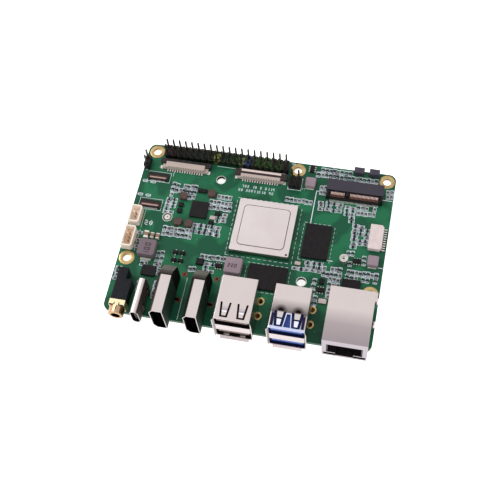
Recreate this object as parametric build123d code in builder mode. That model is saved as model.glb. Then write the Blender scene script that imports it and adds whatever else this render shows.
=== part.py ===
"""Single board computer on a green four-hole board, built as its separate parts.

Millimetres.  +X runs along the port edge, +Y from the port edge to the pin header,
+Z up.  The origin is the centre of the rear left mounting hole, on the board's
underside.  Heights named *_height are measured from the face that carries the part.
"""

import os
from math import cos, radians, sin

from build123d import *

os.makedirs("parts", exist_ok=True)

# ------------------------------------------------------------------ driving sizes
# Board
board_length = 100.3
board_depth = 75.0
board_thickness = 1.6
board_corner_radius = 3.0
hole_inset_x = 3.6
hole_inset_y = 3.5
hole_spacing_x = 93.3
hole_spacing_y = 49.0
middle_hole_x = 58.0
mounting_hole_d = 3.2
mounting_pad_d = 6.0
mounting_pad_sides = 12
pad_thickness = 0.04

# Heat sink holes, on the processor's diagonal
heatsink_hole_d = 3.5
heatsink_center = (48.0, -28.7)
heatsink_reach = 19.5

# Processor
processor_center = (49.7, -28.8)
processor_size = 23.2
processor_substrate_height = 1.3
lid_margin = 0.2
lid_flange_height = 1.05
lid_step_size = (17.8, 17.3)
lid_step_height = 0.3

# Memory and other flat packages
memory_size = (10.0, 14.5, 1.05)
memory_places = ((70.4, -30.95, 0), (54.5, -49.1, 90))
power_chip_size = (6.8, 7.0, 0.9)
power_chip_center = (23.0, -24.2)
audio_chip_size = (5.4, 4.1, 0.9)
audio_chip_center = (9.8, -53.3)
network_chip_size = (6.9, 6.9, 0.9)
network_chip_center = (85.8, -48.1)

# Pin headers
pin_pitch = 2.54
pin_size = 0.64
pin_rise = 8.5
pin_tail = 1.4
header_base_height = 2.5
header_columns = 20
header_center = (29.0, 0.0)
poe_header_center = (57.9, -6.4)
fan_header_center = (-2.25, -6.3)
pin_fit = 0.03

# Display ribbon sockets: x centre, rear edge of the lock, lock depth, body depth, lip depth
display_socket_height = 2.0
display_socket_length = 18.6
display_socket_centers = ((13.3, -3.45), (44.0, -2.75))
display_lock_depths = (1.25, 1.95)
display_body_depths = (2.8, 1.75)
display_lip_depths = (0.0, 0.95)
display_lock_ear = 2.5
display_floor = 0.5
display_lock_gap = 0.08
display_contact_pitch = 1.0
display_contact_count = 15
display_contact_width = 0.4

# Camera ribbon sockets, with a flap that turns up
camera_socket_length = 8.3
camera_socket_height = 1.1
camera_socket_centers = ((3.4, -11.9), (3.3, -24.6))
camera_body_depth = 1.5
camera_flap_depth = 1.3
camera_flap_thickness = 0.5
camera_flap_gap = 0.06
camera_cheek = 0.7
camera_floor = 0.3
camera_pin_fit = 0.05
camera_contact_pitch = 0.5
camera_contact_count = 12
camera_contact_width = 0.22

# Ribbon contacts
contact_thickness = 0.15
contact_tail = 1.0
camera_contact_tail = 0.6

# Touch panel socket on the right edge
touch_socket_size = (5.1, 10.5, 2.0)
touch_socket_center = (92.3, -25.85)
touch_contact_pitch = 1.0
touch_contact_count = 10

# Wire sockets on the left edge
wire_socket_width = 4.3
wire_socket_height = 3.4
wire_socket_wall = 0.55
wire_socket_floor = 0.8
wire_socket_end = 3.0
wire_pitch = 1.5
wire_pin = 0.45
wire_sockets = ((-0.75, -31.15, 2), (-0.85, -41.1, 3))

# M.2 card socket on top, its standoff, and the long card socket below
card_socket_length = 21.9
card_socket_center_x = 81.7
card_socket_rear_y = -4.2
card_socket_depth = 7.0
card_socket_height = 4.0
card_roof_depth = 4.9
card_slot_height = 1.2
card_slot_floor = 2.2
card_slot_depth = 4.2
card_end_block = 1.0
card_key_width = 1.2
card_key_offset = -2.8
card_contact_pitch = 1.0
card_contact_width = 0.22
card_contact_room = 0.5
card_standoff_d = 3.4
card_standoff_sides = 12
card_standoff_height = 2.45
card_thread_d = 1.6
card_length_30 = 30.0
card_length_80 = 80.0
lower_socket_center_y = -29.1
lower_nut_x = 11.2
lower_nut_d = 3.9
lower_nut_height = 2.45
lower_nut_barrel_d = 2.9
lower_nut_sides = 12

# Memory card socket below
sd_socket_size = (14.6, 14.0, 1.4)
sd_socket_center = (4.1, -16.5)
sd_shell_wall = 0.2
sd_mouth_height = 0.8

# Shielded connectors along the port edge
shell_wall = 0.3
shell_seat = 0.06
lip_length = 0.9
lip_angle = 38
tab_width = 1.2
tab_tail = 0.7
solder_fill = 0.6

# Stacked USB sockets
usb_width = 13.1
usb_depth = 17.0
usb_height = 15.8
usb_mouth_height = 5.12
usb_mouth_rise = 1.0
usb_centers = (47.55, 66.95)
usb_fronts = (-74.4, -74.6)
usb_tongue_thickness = 1.84
usb_tongue_gap = 0.7
usb_tongue_setback = 0.5
usb_tab_setbacks = (9.9, 15.8)
usb_ring_d = 3.4
usb_ring_hole_d = 2.1
usb_ring_sides = 8
usb_finger_length = 5.7
usb_finger_setback = 0.9
usb_finger_spread = 3.05
usb_slit = 0.45
usb_finger_half_widths = (0.85, 1.4)
usb3_window_half_widths = (1.25, 0.65)
usb3_window_length = 5.0
usb_mouth_depth = 12.9
usb_contact_pitch = 2.3

# HDMI sockets, standing on edge
hdmi_mouth_width = 14.0
hdmi_mouth_thickness = 4.55
hdmi_depth = 14.7
hdmi_chamfer = (1.4, 2.0)
hdmi_centers = (19.95, 32.35)
hdmi_front = -75.0
hdmi_hood_depth = 6.6
hdmi_hood_drop = 1.2
hdmi_hood_slope = (4.6, 4.8)
hdmi_tongue_thickness = 1.6
hdmi_ring_d = 2.3
hdmi_ring_hole_d = 1.2
hdmi_ring_sides = 6
hdmi_ring_out = 1.2
hdmi_ring_setbacks = (12.0, 22.6)
hdmi_tab_width = 0.8
hdmi_mouth_depth = 9.5

# USB-C socket, standing on edge
usb_c_width = 8.94
usb_c_thickness = 3.2
usb_c_depth = 13.8
usb_c_center = 10.8
usb_c_front = -74.4
usb_c_tongue_size = (6.7, 0.7)
usb_c_mouth_depth = 6.5

# Network socket
network_width = 16.1
network_height = 13.4
network_depth = 21.0
network_center = 87.45
network_front = -75.1
network_mouth_width = 12.8
network_mouth_top = 9.9
network_mouth_bottom = 1.2
network_cavity_width = 11.8
network_cavity_depth = 13.0
network_ledge = 3.2
network_latch_width = 6.4
network_contact_count = 8
network_contact_pitch = 1.27
network_ear = (0.7, 3.6, 4.0)
network_contact_drop = 2.0

# Audio socket
audio_bore_d = 3.6
audio_barrel_d = 5.8
audio_barrel_sides = 20
audio_barrel_length = 3.0
audio_axis = (2.95, 2.95)
audio_front = -74.3
audio_body_width = 5.9
audio_body_height = 5.0
audio_collar_depth = 2.4
audio_collar_height = 5.6
audio_wide_depth = 8.9
audio_narrow_depth = 4.5
audio_narrow_width = 3.5
audio_bore_depth = 14.0

# Side buttons at the rear edge
button_size = (4.0, 2.5, 2.5)
button_centers_x = (82.0, 88.0)
button_rear_y = 3.6
button_plunger = (2.2, 1.1)
button_stand_out = 0.45
button_travel = 0.25
button_plunger_fit = 0.05
button_pocket_depth = 1.6

# Inductors, capacitors and resistors
inductor_places = (
    (7.3, -44.6, 6.8, 3.0), (41.5, -46.9, 6.5, 3.0), (63.9, -5.5, 4.1, 2.0), (92.5, -35.9, 4.1, 2.0))
inductor_foot = 0.35
chip_inductor_size = (3.0, 3.0, 1.4)
chip_inductor_places = ((15.5, -19.3), (26.5, -16.5), (16.0, -31.0), (20.3, -31.1))
large_capacitor_places = ((5.3, -38.6, 1.7, 3.0, 1.7), (7.6, -38.5, 1.3, 2.2, 1.3), (9.8, -38.5, 1.3, 2.2, 1.3))
crystal_places = ((76.5, -55.0, 2.9, 1.9, 0.8), (28.9, -26.9, 2.2, 1.6, 0.6), (64.9, -41.0, 2.2, 1.4, 0.6))
chip_part = (1.0, 0.5, 0.45)
small_chip_height = 1.0

# Small packages: x, y, width along X, width along Y, leads per long side, leads along X
small_chip_places = (
    (86.6, -36.5, 2.9, 1.7, 3, True), (75.0, -50.5, 2.9, 1.7, 3, True), (35.6, -46.9, 2.6, 1.6, 3, True),
    (28.3, -46.4, 2.8, 2.6, 0, True), (63.5, 1.3, 1.7, 2.9, 3, False), (74.9, -47.0, 1.8, 2.2, 0, True),
    (18.2, -43.9, 1.9, 1.3, 1, True), (20.9, -43.9, 1.9, 1.3, 1, True),
    (18.2, -47.2, 1.9, 1.3, 1, True), (20.9, -47.2, 1.9, 1.3, 1, True),
    (15.4, -23.1, 1.9, 1.8, 0, True), (15.4, -25.8, 1.9, 1.8, 0, True),
    (30.5, -24.9, 2.0, 1.6, 0, True), (28.8, -29.2, 2.0, 1.4, 0, True), (22.4, -15.6, 3.6, 1.6, 0, True))
small_chip_lead = (0.4, 0.6, 0.2)
small_chip_lead_pitch = 0.95

# Banks of chip parts: x, y, columns, rows, column pitch, row pitch, turn
capacitor_banks = (
    (18.3, -14.9, 2, 1, 1.5, 1.2, 0), (10.9, -23.4, 2, 2, 1.6, 1.8, 0), (31.6, -19.9, 1, 3, 1.9, 1.8, 0),
    (25.2, -32.2, 2, 2, 1.9, 1.6, 0), (14.0, -34.9, 2, 1, 1.5, 1.3, 0), (70.3, 0.7, 2, 2, 1.8, 1.5, 0),
    (74.6, -14.4, 2, 2, 1.8, 1.4, 0), (85.5, -26.2, 1, 5, 1.7, 1.9, 0), (69.8, -40.7, 2, 1, 1.8, 1.3, 0),
    (78.6, -43.9, 1, 3, 1.7, 1.7, 0), (32.6, -44.0, 2, 1, 1.7, 1.2, 0), (3.05, -40.4, 1, 2, 1.0, 2.4, 90),
    (58.6, -14.4, 2, 1, 1.7, 1.2, 0))
resistor_banks = (
    (27.9, -22.2, 1, 3, 1.0, 1.6, 0), (30.0, -32.2, 1, 2, 1.7, 1.6, 0), (76.5, 0.7, 2, 2, 1.7, 1.5, 0),
    (84.6, -1.3, 3, 1, 1.8, 1.2, 0), (81.2, -18.2, 2, 1, 1.5, 1.2, 0), (87.3, -14.3, 2, 1, 1.7, 1.3, 0),
    (88.1, -26.2, 1, 4, 1.0, 1.9, 0), (84.2, -36.2, 1, 2, 0.9, 1.9, 90), (86.3, -42.0, 2, 1, 1.7, 1.2, 0),
    (12.2, -47.8, 1, 2, 1.0, 1.6, 0), (-2.2, -56.2, 1, 2, 1.0, 1.8, 0))
underside_bank = (2, 2, 5.0, 5.0)


# ------------------------------------------------------------------ places that follow
board_center = (board_length / 2 - hole_inset_x, hole_inset_y - board_depth / 2)
mounting_holes = [
    (0, 0), (middle_hole_x, 0), (hole_spacing_x, 0), (0, -hole_spacing_y), (hole_spacing_x, -hole_spacing_y)]
heatsink_holes = [
    (heatsink_center[0] + side * heatsink_reach, heatsink_center[1] - side * heatsink_reach) for side in (-1, 1)]
top = Plane.XY.offset(board_thickness)
shell_floor_height = shell_seat + shell_wall
pin_hole = pin_size + 2 * pin_fit
card_stop = card_socket_depth - card_slot_depth
lower_nut_center = (lower_nut_x, lower_socket_center_y)
lower_socket_rear_x = lower_nut_x + card_length_80 + card_stop
card_standoff_center = (card_socket_center_x, card_socket_rear_y - card_stop - card_length_30)


def level(height):
    """The plane parallel to the board at a height above its top face."""
    return Plane.XY.offset(board_thickness + height)


def facing_front(y):
    """A plane across the board at y, looking out of the port edge, with local y upwards."""
    return Plane(origin=(0, y, board_thickness), x_dir=(1, 0, 0), z_dir=(0, -1, 0))


def facing_right(x):
    """A plane across the board at x: local x runs towards the header, local y upwards."""
    return Plane(origin=(x, 0, board_thickness), x_dir=(0, 1, 0), z_dir=(1, 0, 0))


def header_grid(center, columns, rows):
    """Pin places of a header, as x and y of every pin."""
    return [
        (center[0] + (column - (columns - 1) / 2) * pin_pitch, center[1] + (row - (rows - 1) / 2) * pin_pitch)
        for column in range(columns) for row in range(rows)]


small_header_pins_at = header_grid(poe_header_center, 2, 2) + header_grid(fan_header_center, 1, 2)
main_header_pins_at = header_grid(header_center, header_columns, 2)

# Every shell tab that goes through the board: x, y
usb_tab_places = [
    (center + side * (usb_width - shell_wall) / 2, front + setback)
    for center, front in zip(usb_centers, usb_fronts) for side in (-1, 1) for setback in usb_tab_setbacks]
hdmi_thickness = hdmi_mouth_thickness + 2 * shell_wall
hdmi_ring_places = [
    (center + side * (hdmi_thickness / 2 + hdmi_ring_out), hdmi_front + setback)
    for center in hdmi_centers for side in (-1, 1) for setback in hdmi_ring_setbacks]

# ------------------------------------------------------------------ board
with BuildPart() as board:
    with BuildSketch():
        with Locations(board_center):
            RectangleRounded(board_length, board_depth, board_corner_radius)
        with Locations(mounting_holes):
            Circle(mounting_hole_d / 2, mode=Mode.SUBTRACT)
        with Locations(heatsink_holes):
            Circle(heatsink_hole_d / 2, mode=Mode.SUBTRACT)
        with Locations(usb_tab_places):
            RegularPolygon(usb_ring_hole_d / 2, usb_ring_sides, rotation=180 / usb_ring_sides, mode=Mode.SUBTRACT)
        with Locations(hdmi_ring_places):
            RegularPolygon(hdmi_ring_hole_d / 2, hdmi_ring_sides, rotation=180 / hdmi_ring_sides, mode=Mode.SUBTRACT)
        with Locations(main_header_pins_at + small_header_pins_at):
            Rectangle(pin_hole, pin_hole, mode=Mode.SUBTRACT)
        with Locations(lower_nut_center):
            RegularPolygon(lower_nut_barrel_d / 2, lower_nut_sides, mode=Mode.SUBTRACT)
    extrude(amount=board_thickness)

# Gold annular rings round each mounting hole, on both faces
with BuildPart() as hole_plating:
    for face in (Plane.XY.offset(-pad_thickness), top):
        with BuildSketch(face):
            with Locations(mounting_holes):
                RegularPolygon(mounting_pad_d / 2, mounting_pad_sides)
                RegularPolygon(mounting_hole_d / 2, mounting_pad_sides, major_radius=False, mode=Mode.SUBTRACT)
        extrude(amount=pad_thickness)

# Solder rings round the shell tabs, with solder on both sides of each tab in its hole
ring_sizes = (
    (usb_tab_places, usb_ring_d, usb_ring_hole_d, usb_ring_sides, tab_width),
    (hdmi_ring_places, hdmi_ring_d, hdmi_ring_hole_d, hdmi_ring_sides, hdmi_tab_width))
with BuildPart() as solder_rings:
    with BuildSketch(top):
        for places, ring_d, ring_hole_d, sides, _ in ring_sizes:
            with Locations(places):
                RegularPolygon(ring_d / 2, sides, rotation=180 / sides)
                RegularPolygon(ring_hole_d / 2, sides, rotation=180 / sides, mode=Mode.SUBTRACT)
    extrude(amount=pad_thickness)
    with BuildSketch():
        for places, ring_d, ring_hole_d, sides, tab in ring_sizes:
            side = ring_hole_d / 2 * cos(radians(180 / sides)) - shell_wall / 2
            with Locations(*[(x + way * (shell_wall + side) / 2, y) for x, y in places for way in (-1, 1)]):
                Rectangle(side, 0.5 * tab)
    extrude(amount=solder_fill * board_thickness)

# ------------------------------------------------------------------ processor and packages
with BuildPart() as processor_substrate:
    with BuildSketch(top):
        with Locations(processor_center):
            Rectangle(processor_size, processor_size)
    extrude(amount=processor_substrate_height)

lid_size = processor_size - 2 * lid_margin
with BuildPart() as processor_lid:
    with BuildSketch(level(processor_substrate_height)):
        with Locations(processor_center):
            Rectangle(lid_size, lid_size)
    extrude(amount=lid_flange_height)
    chamfer(processor_lid.edges().filter_by(Axis.Z), 0.4)
    chamfer(processor_lid.faces().sort_by(Axis.Z)[-1].edges(), 0.12)
    lid_top = level(processor_substrate_height + lid_flange_height)
    with BuildSketch(lid_top):
        with Locations(processor_center):
            Rectangle(lid_step_size[0], lid_step_size[1])
    extrude(amount=lid_step_height, taper=30)
    with BuildSketch(lid_top):
        with Locations((processor_center[0] + 0.46 * lid_size, processor_center[1] - 0.46 * lid_size)):
            RegularPolygon(0.5, 8)
    extrude(amount=-0.1, mode=Mode.SUBTRACT)


def flat_package(places, height, mark_d):
    """Moulded flat packages: x, y, width, depth, each with its first-pin mark at a corner."""
    with BuildPart() as package:
        with BuildSketch(top):
            for x, y, width, depth in places:
                with Locations((x, y)):
                    Rectangle(width, depth)
        extrude(amount=height)
        with BuildSketch(level(height)):
            for x, y, width, depth in places:
                with Locations((x - width / 2 + 1.5 * mark_d, y + depth / 2 - 1.5 * mark_d)):
                    RegularPolygon(mark_d / 2, 8)
        extrude(amount=-0.05, mode=Mode.SUBTRACT)
    return package


memory_outlines = [
    (x, y, memory_size[1] if turn else memory_size[0], memory_size[0] if turn else memory_size[1])
    for x, y, turn in memory_places]
memory_chips = flat_package(memory_outlines, memory_size[2], 0.7)
power_chip = flat_package([(*power_chip_center, *power_chip_size[:2])], power_chip_size[2], 0.5)
interface_chips = flat_package(
    [(*audio_chip_center, *audio_chip_size[:2]), (*network_chip_center, *network_chip_size[:2])],
    audio_chip_size[2], 0.45)

with BuildPart() as small_chips:
    with BuildSketch(top):
        for x, y, width, depth, _, _ in small_chip_places:
            with Locations((x, y)):
                Rectangle(width, depth)
    extrude(amount=small_chip_height)
    chamfer(small_chips.edges().group_by(Axis.Z)[-1], 0.15)

# Gull-wing leads of the small packages, one row along each long side
small_chip_leads_at = []
for x, y, width, depth, leads, along_x in small_chip_places:
    for side in (-1, 1):
        for lead in range(leads):
            along = (lead - (leads - 1) / 2) * small_chip_lead_pitch
            if along_x:
                out = side * (depth + small_chip_lead[1]) / 2
                small_chip_leads_at.append(((x + along, y + out), 0))
            else:
                out = side * (width + small_chip_lead[1]) / 2
                small_chip_leads_at.append(((x + out, y + along), 90))
with BuildPart() as small_chip_leads:
    with BuildSketch(top):
        for place, turn in small_chip_leads_at:
            with Locations(place):
                Rectangle(small_chip_lead[0], small_chip_lead[1], rotation=turn)
    extrude(amount=small_chip_lead[2])

# ------------------------------------------------------------------ inductors and chip parts
with BuildPart() as power_inductors:
    for x, y, size, height in inductor_places:
        with BuildSketch(top):
            with Locations((x, y)):
                Rectangle(size - 0.3, size - 0.3)
        extrude(amount=inductor_foot)
        with BuildSketch(level(inductor_foot)) as body_outline:
            with Locations((x, y)):
                Rectangle(size, size)
            chamfer(body_outline.vertices(), 0.09 * size)
        extrude(amount=height - inductor_foot)
    inductor_tops = power_inductors.faces().filter_by(Axis.Z).filter_by(
        lambda face: face.center().Z > board_thickness + 1.5 and face.normal_at().Z > 0)
    chamfer(inductor_tops.edges(), 0.25)

with BuildPart() as chip_inductors:
    with BuildSketch(top) as body_outline:
        with Locations(chip_inductor_places):
            Rectangle(chip_inductor_size[0], chip_inductor_size[1])
        chamfer(body_outline.vertices(), 0.5)
    extrude(amount=chip_inductor_size[2])

with BuildPart() as large_capacitors:
    for x, y, width, depth, height in large_capacitor_places:
        with BuildSketch(top):
            with Locations((x, y)):
                Rectangle(width, depth)
        extrude(amount=height)

with BuildPart() as crystals:
    for x, y, width, depth, height in crystal_places:
        with BuildSketch(top) as can_outline:
            with Locations((x, y)):
                Rectangle(width, depth)
            chamfer(can_outline.vertices(), 0.2)
        extrude(amount=height)


def chip_bank(banks):
    """Rows of chip parts soldered flat on the board."""
    with BuildPart() as bank:
        with BuildSketch(top):
            for x, y, columns, rows, column_pitch, row_pitch, turn in banks:
                with Locations((x, y)):
                    with GridLocations(column_pitch, row_pitch, columns, rows):
                        Rectangle(chip_part[0], chip_part[1], rotation=turn)
        extrude(amount=chip_part[2])
    return bank


chip_resistors = chip_bank(resistor_banks)
top_capacitors = chip_bank(capacitor_banks)
with BuildPart() as chip_capacitors:
    add(top_capacitors.part)
    # Decoupling capacitors under the processor
    with BuildSketch():
        with Locations(processor_center):
            with GridLocations(underside_bank[2], underside_bank[3], underside_bank[0], underside_bank[1]):
                Rectangle(chip_part[0], chip_part[1])
    extrude(amount=-chip_part[2])


# ------------------------------------------------------------------ pin headers
def header_base(groups):
    """Moulded strips with a square hole for each pin: centre, columns, rows."""
    with BuildPart() as base:
        with BuildSketch(top):
            for center, columns, rows in groups:
                with Locations(center):
                    Rectangle(pin_pitch * columns, pin_pitch * rows)
                with Locations(header_grid(center, columns, rows)):
                    Rectangle(pin_hole, pin_hole, mode=Mode.SUBTRACT)
        extrude(amount=header_base_height)
    return base


def header_pins(places):
    """Square posts through the base and the board."""
    with BuildPart() as pins:
        with BuildSketch(Plane.XY.offset(-pin_tail)):
            with Locations(places):
                Rectangle(pin_size, pin_size)
        extrude(amount=pin_tail + board_thickness + pin_rise)
    return pins


gpio_header_base = header_base([(header_center, header_columns, 2)])
gpio_header_pins = header_pins(main_header_pins_at)
small_header_bases = header_base([(poe_header_center, 2, 2), (fan_header_center, 1, 2)])
small_header_pins = header_pins(small_header_pins_at)


def contact_profile(inner, outer, level_inside, thickness):
    """Side outline of a bent contact: a beam from inside and a riser down the outer face to its pad."""
    riser = outer + (thickness if outer > inner else -thickness)
    return [
        (inner, level_inside), (outer, level_inside), (outer, 0), (riser, 0), (riser, level_inside + thickness),
        (inner, level_inside + thickness)]


def places_along(center, pitch, count):
    """Evenly spaced positions about a centre."""
    return [center + (number - (count - 1) / 2) * pitch for number in range(count)]


# ------------------------------------------------------------------ ribbon sockets
display_body_length = display_contact_pitch * display_contact_count + 0.8


def display_socket(number):
    """A ribbon socket and its slide-out lock.  The ribbon goes in from the header side."""
    center_x, rear_y = display_socket_centers[number]
    lock_rear = rear_y - display_lip_depths[number]
    body_rear = lock_rear - display_lock_depths[number]
    body_front = body_rear - display_body_depths[number]
    slot_depth = 0.6 * display_body_depths[number]
    slot_top = 0.7 * display_socket_height
    ear_reach = 0.9
    with BuildPart() as housing:
        with BuildSketch(top):
            with Locations((center_x, (rear_y + body_front) / 2)):
                Rectangle(display_socket_length, rear_y - body_front)
        extrude(amount=display_floor)
        with BuildSketch(level(display_floor)):
            with Locations((center_x, (body_rear - ear_reach + body_front) / 2 - 0.05)):
                Rectangle(display_socket_length, body_rear - ear_reach - body_front - 0.1)
        extrude(amount=0.55)
        with BuildSketch(level(display_floor)):
            with Locations((center_x, (body_rear + body_front) / 2)):
                Rectangle(display_body_length, display_body_depths[number])
        extrude(amount=display_socket_height - display_floor)
        chamfer(housing.faces().sort_by(Axis.Z)[-1].edges().filter_by(Axis.X), 0.25)
        with BuildSketch(facing_front(body_rear)):
            with Locations((center_x, (display_floor + slot_top) / 2)):
                Rectangle(display_body_length - 0.6, slot_top - display_floor)
        extrude(amount=slot_depth, mode=Mode.SUBTRACT)
    with BuildPart() as lock:
        bar_front = body_rear + display_lock_gap
        bar_bottom = display_floor + display_lock_gap
        bar_height = display_socket_height - bar_bottom - 0.05
        with BuildSketch(level(bar_bottom)) as lock_outline:
            with Locations((center_x, (lock_rear + bar_front) / 2)):
                Rectangle(display_body_length + 2 * display_lock_ear, lock_rear - bar_front)
            for side in (-1, 1):
                ear_x = center_x + side * (display_body_length + display_lock_gap * 2 + display_lock_ear) / 2
                with Locations((ear_x, (lock_rear + body_rear - ear_reach) / 2)):
                    Rectangle(display_lock_ear - display_lock_gap * 2, lock_rear - body_rear + ear_reach)
            chamfer(lock_outline.vertices().sort_by(Axis.X)[:2] + lock_outline.vertices().sort_by(Axis.X)[-2:], 0.35)
        extrude(amount=bar_height)
        with BuildSketch(level(slot_top - 0.45)):
            with Locations((center_x, bar_front - 0.4 * slot_depth)):
                Rectangle(display_body_length - 1.2, 0.8 * slot_depth)
        extrude(amount=0.45 - display_lock_gap)
        chamfer(lock.faces().sort_by(Axis.Z)[-1].edges().filter_by(Axis.X).sort_by(Axis.Y)[-1:], 0.2)
    return housing, lock, body_front


def camera_socket(number):
    """A low ribbon socket whose flap turns up about pins in its end cheeks."""
    center_x, center_y = camera_socket_centers[number]
    depth = camera_body_depth + camera_flap_depth
    rear_y = center_y + depth / 2
    front_y = center_y - depth / 2
    body_rear = front_y + camera_body_depth
    heel = camera_flap_thickness / 2
    pivot_y = body_rear + camera_flap_gap + heel
    pivot_z = camera_socket_height - heel - 0.02
    pin_radius = 0.14
    pin_length = 0.35
    flap_length = camera_socket_length - 2 * (camera_cheek + camera_flap_gap)
    with BuildPart() as housing:
        with BuildSketch(top):
            with Locations((center_x, center_y)):
                Rectangle(camera_socket_length, depth)
        extrude(amount=camera_socket_height)
        with BuildSketch(level(camera_floor)):
            with Locations((center_x, (body_rear + rear_y) / 2 + 0.5)):
                Rectangle(flap_length + 2 * camera_flap_gap, rear_y - body_rear + 1.0)
        extrude(amount=camera_socket_height, mode=Mode.SUBTRACT)
        with BuildSketch(facing_front(body_rear)):
            with Locations((center_x, camera_floor + 0.18)):
                Rectangle(flap_length - 0.4, 0.36)
        extrude(amount=0.6 * camera_body_depth, mode=Mode.SUBTRACT)
        with BuildSketch(facing_right(center_x - flap_length / 2 - camera_flap_gap - pin_length)):
            with Locations((pivot_y, pivot_z)):
                RegularPolygon(pin_radius + camera_pin_fit, 12)
        extrude(amount=flap_length + 2 * camera_flap_gap + 2 * pin_length, mode=Mode.SUBTRACT)
        chamfer(housing.edges().filter_by(Axis.X).group_by(Axis.Z)[-1].sort_by(Axis.Y)[:1], 0.2)
    with BuildPart() as flap:
        with BuildSketch(facing_right(center_x - flap_length / 2)):
            with Locations((pivot_y, pivot_z)):
                RegularPolygon(heel, 12, rotation=15)
            with Locations(((pivot_y + rear_y) / 2, pivot_z)):
                Rectangle(rear_y - pivot_y, camera_flap_thickness)
        extrude(amount=flap_length)
        with BuildSketch(facing_right(center_x - flap_length / 2 - pin_length)):
            with Locations((pivot_y, pivot_z)):
                RegularPolygon(pin_radius, 12)
        extrude(amount=flap_length + 2 * pin_length)
    return housing, flap, front_y


display_socket_1, display_socket_1_lock, display_front_1 = display_socket(0)
display_socket_2, display_socket_2_lock, display_front_2 = display_socket(1)
camera_socket_1, camera_socket_1_flap, camera_front_1 = camera_socket(0)
camera_socket_2, camera_socket_2_flap, camera_front_2 = camera_socket(1)

# Touch panel socket: the ribbon goes in from the board's middle
touch_x, touch_y = touch_socket_center
touch_width, touch_length, touch_height = touch_socket_size
touch_slot_floor = 0.5
touch_slot_height = 0.7
touch_slot_depth = 3.0
touch_corner = 0.8
with BuildPart() as touch_socket:
    with BuildSketch(top):
        half_width, half_length = touch_width / 2, touch_length / 2
        with Locations(touch_socket_center):
            Polygon(
                (-half_width, -half_length), (half_width - 0.5, -half_length), (half_width - 0.5, -half_length + 0.7),
                (half_width, -half_length + 0.7), (half_width, half_length - touch_corner),
                (half_width - touch_corner, half_length), (-half_width, half_length), align=None)
    extrude(amount=touch_height)
    with BuildSketch(facing_right(touch_x - touch_width / 2)):
        with Locations((touch_y, touch_slot_floor + touch_slot_height / 2)):
            Rectangle(touch_length - 1.6, touch_slot_height)
    extrude(amount=touch_slot_depth, mode=Mode.SUBTRACT)


display_tails = (display_contact_pitch, display_contact_count, display_contact_width, contact_tail)
camera_tails = (camera_contact_pitch, camera_contact_count, camera_contact_width, camera_contact_tail)
with BuildPart() as ribbon_contacts:
    for center, front_y, pitch, count, width, tail in (
            (display_socket_centers[0], display_front_1, *display_tails),
            (display_socket_centers[1], display_front_2, *display_tails),
            (camera_socket_centers[0], camera_front_1, *camera_tails),
            (camera_socket_centers[1], camera_front_2, *camera_tails)):
        with BuildSketch(top):
            with Locations(*[(x, front_y - tail / 2) for x in places_along(center[0], pitch, count)]):
                Rectangle(width, tail)
        extrude(amount=contact_thickness)

touch_contact_width = 0.4
touch_back = touch_x + touch_width / 2
touch_contact_profile = contact_profile(
    touch_back - touch_width + 0.8, touch_back, touch_slot_floor, contact_thickness)
with BuildPart(mode=Mode.PRIVATE) as touch_contacts:
    with BuildSketch(*[
            facing_front(y + touch_contact_width / 2)
            for y in places_along(touch_y - 0.2, touch_contact_pitch, touch_contact_count)]):
        Polygon(*touch_contact_profile, align=None)
    extrude(amount=touch_contact_width)
with BuildPart() as touch_socket_cut:
    add(touch_socket.part)
    add(touch_contacts.part, mode=Mode.SUBTRACT)
touch_socket = touch_socket_cut


def wire_socket(center_x, center_y, ways):
    """A top-entry socket for a crimped wire plug: housing and the outline of its bent pins."""
    length = wire_pitch * (ways - 1) + 2 * wire_socket_end
    corner = 0.6
    half_width, half_length = wire_socket_width / 2, length / 2
    pin_places = places_along(center_y, wire_pitch, ways)
    pin_top = wire_socket_height - 0.5
    right = center_x + half_width
    foot = right + 1.0
    pin_profile = [
        (center_x - wire_pin / 2, 0), (foot, 0), (foot, 0.3), (center_x + wire_pin / 2, 0.3),
        (center_x + wire_pin / 2, pin_top), (center_x - wire_pin / 2, pin_top)]
    with BuildPart() as pins:
        with BuildSketch(*[facing_front(y + wire_pin / 2) for y in pin_places]):
            Polygon(*pin_profile, align=None)
        extrude(amount=wire_pin)
    with BuildPart() as housing:
        with BuildSketch(top):
            with Locations((center_x, center_y)):
                Polygon(
                    (-half_width, -half_length), (half_width - corner, -half_length),
                    (half_width, corner - half_length), (half_width, half_length - corner),
                    (half_width - corner, half_length), (-half_width, half_length), align=None)
        extrude(amount=wire_socket_height)
        with BuildSketch(level(wire_socket_floor)):
            with Locations((center_x, center_y)):
                Rectangle(wire_socket_width - 2 * wire_socket_wall, length - 2 * wire_socket_wall)
        extrude(amount=wire_socket_height, mode=Mode.SUBTRACT)
        # Key slots in the left wall
        with BuildSketch(level(wire_socket_floor)):
            with Locations(*[(center_x - half_width, center_y + side * 0.28 * length) for side in (-1, 1)]):
                Rectangle(4 * wire_socket_wall, 0.9)
        extrude(amount=wire_socket_height, mode=Mode.SUBTRACT)
        add(pins.part, mode=Mode.SUBTRACT)
    return housing, pins


wire_socket_1, wire_pins_1 = wire_socket(*wire_sockets[0])
wire_socket_2, wire_pins_2 = wire_socket(*wire_sockets[1])
with BuildPart() as wire_socket_pins:
    add(wire_pins_1.part)
    add(wire_pins_2.part)


# ------------------------------------------------------------------ card sockets
def side_plane(mount, x):
    """Across a socket at x along its length: local x to its rear, local y away from the board."""
    return Plane(origin=mount.from_local_coords((x, 0, 0)), x_dir=mount.y_dir, z_dir=mount.x_dir)


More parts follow.
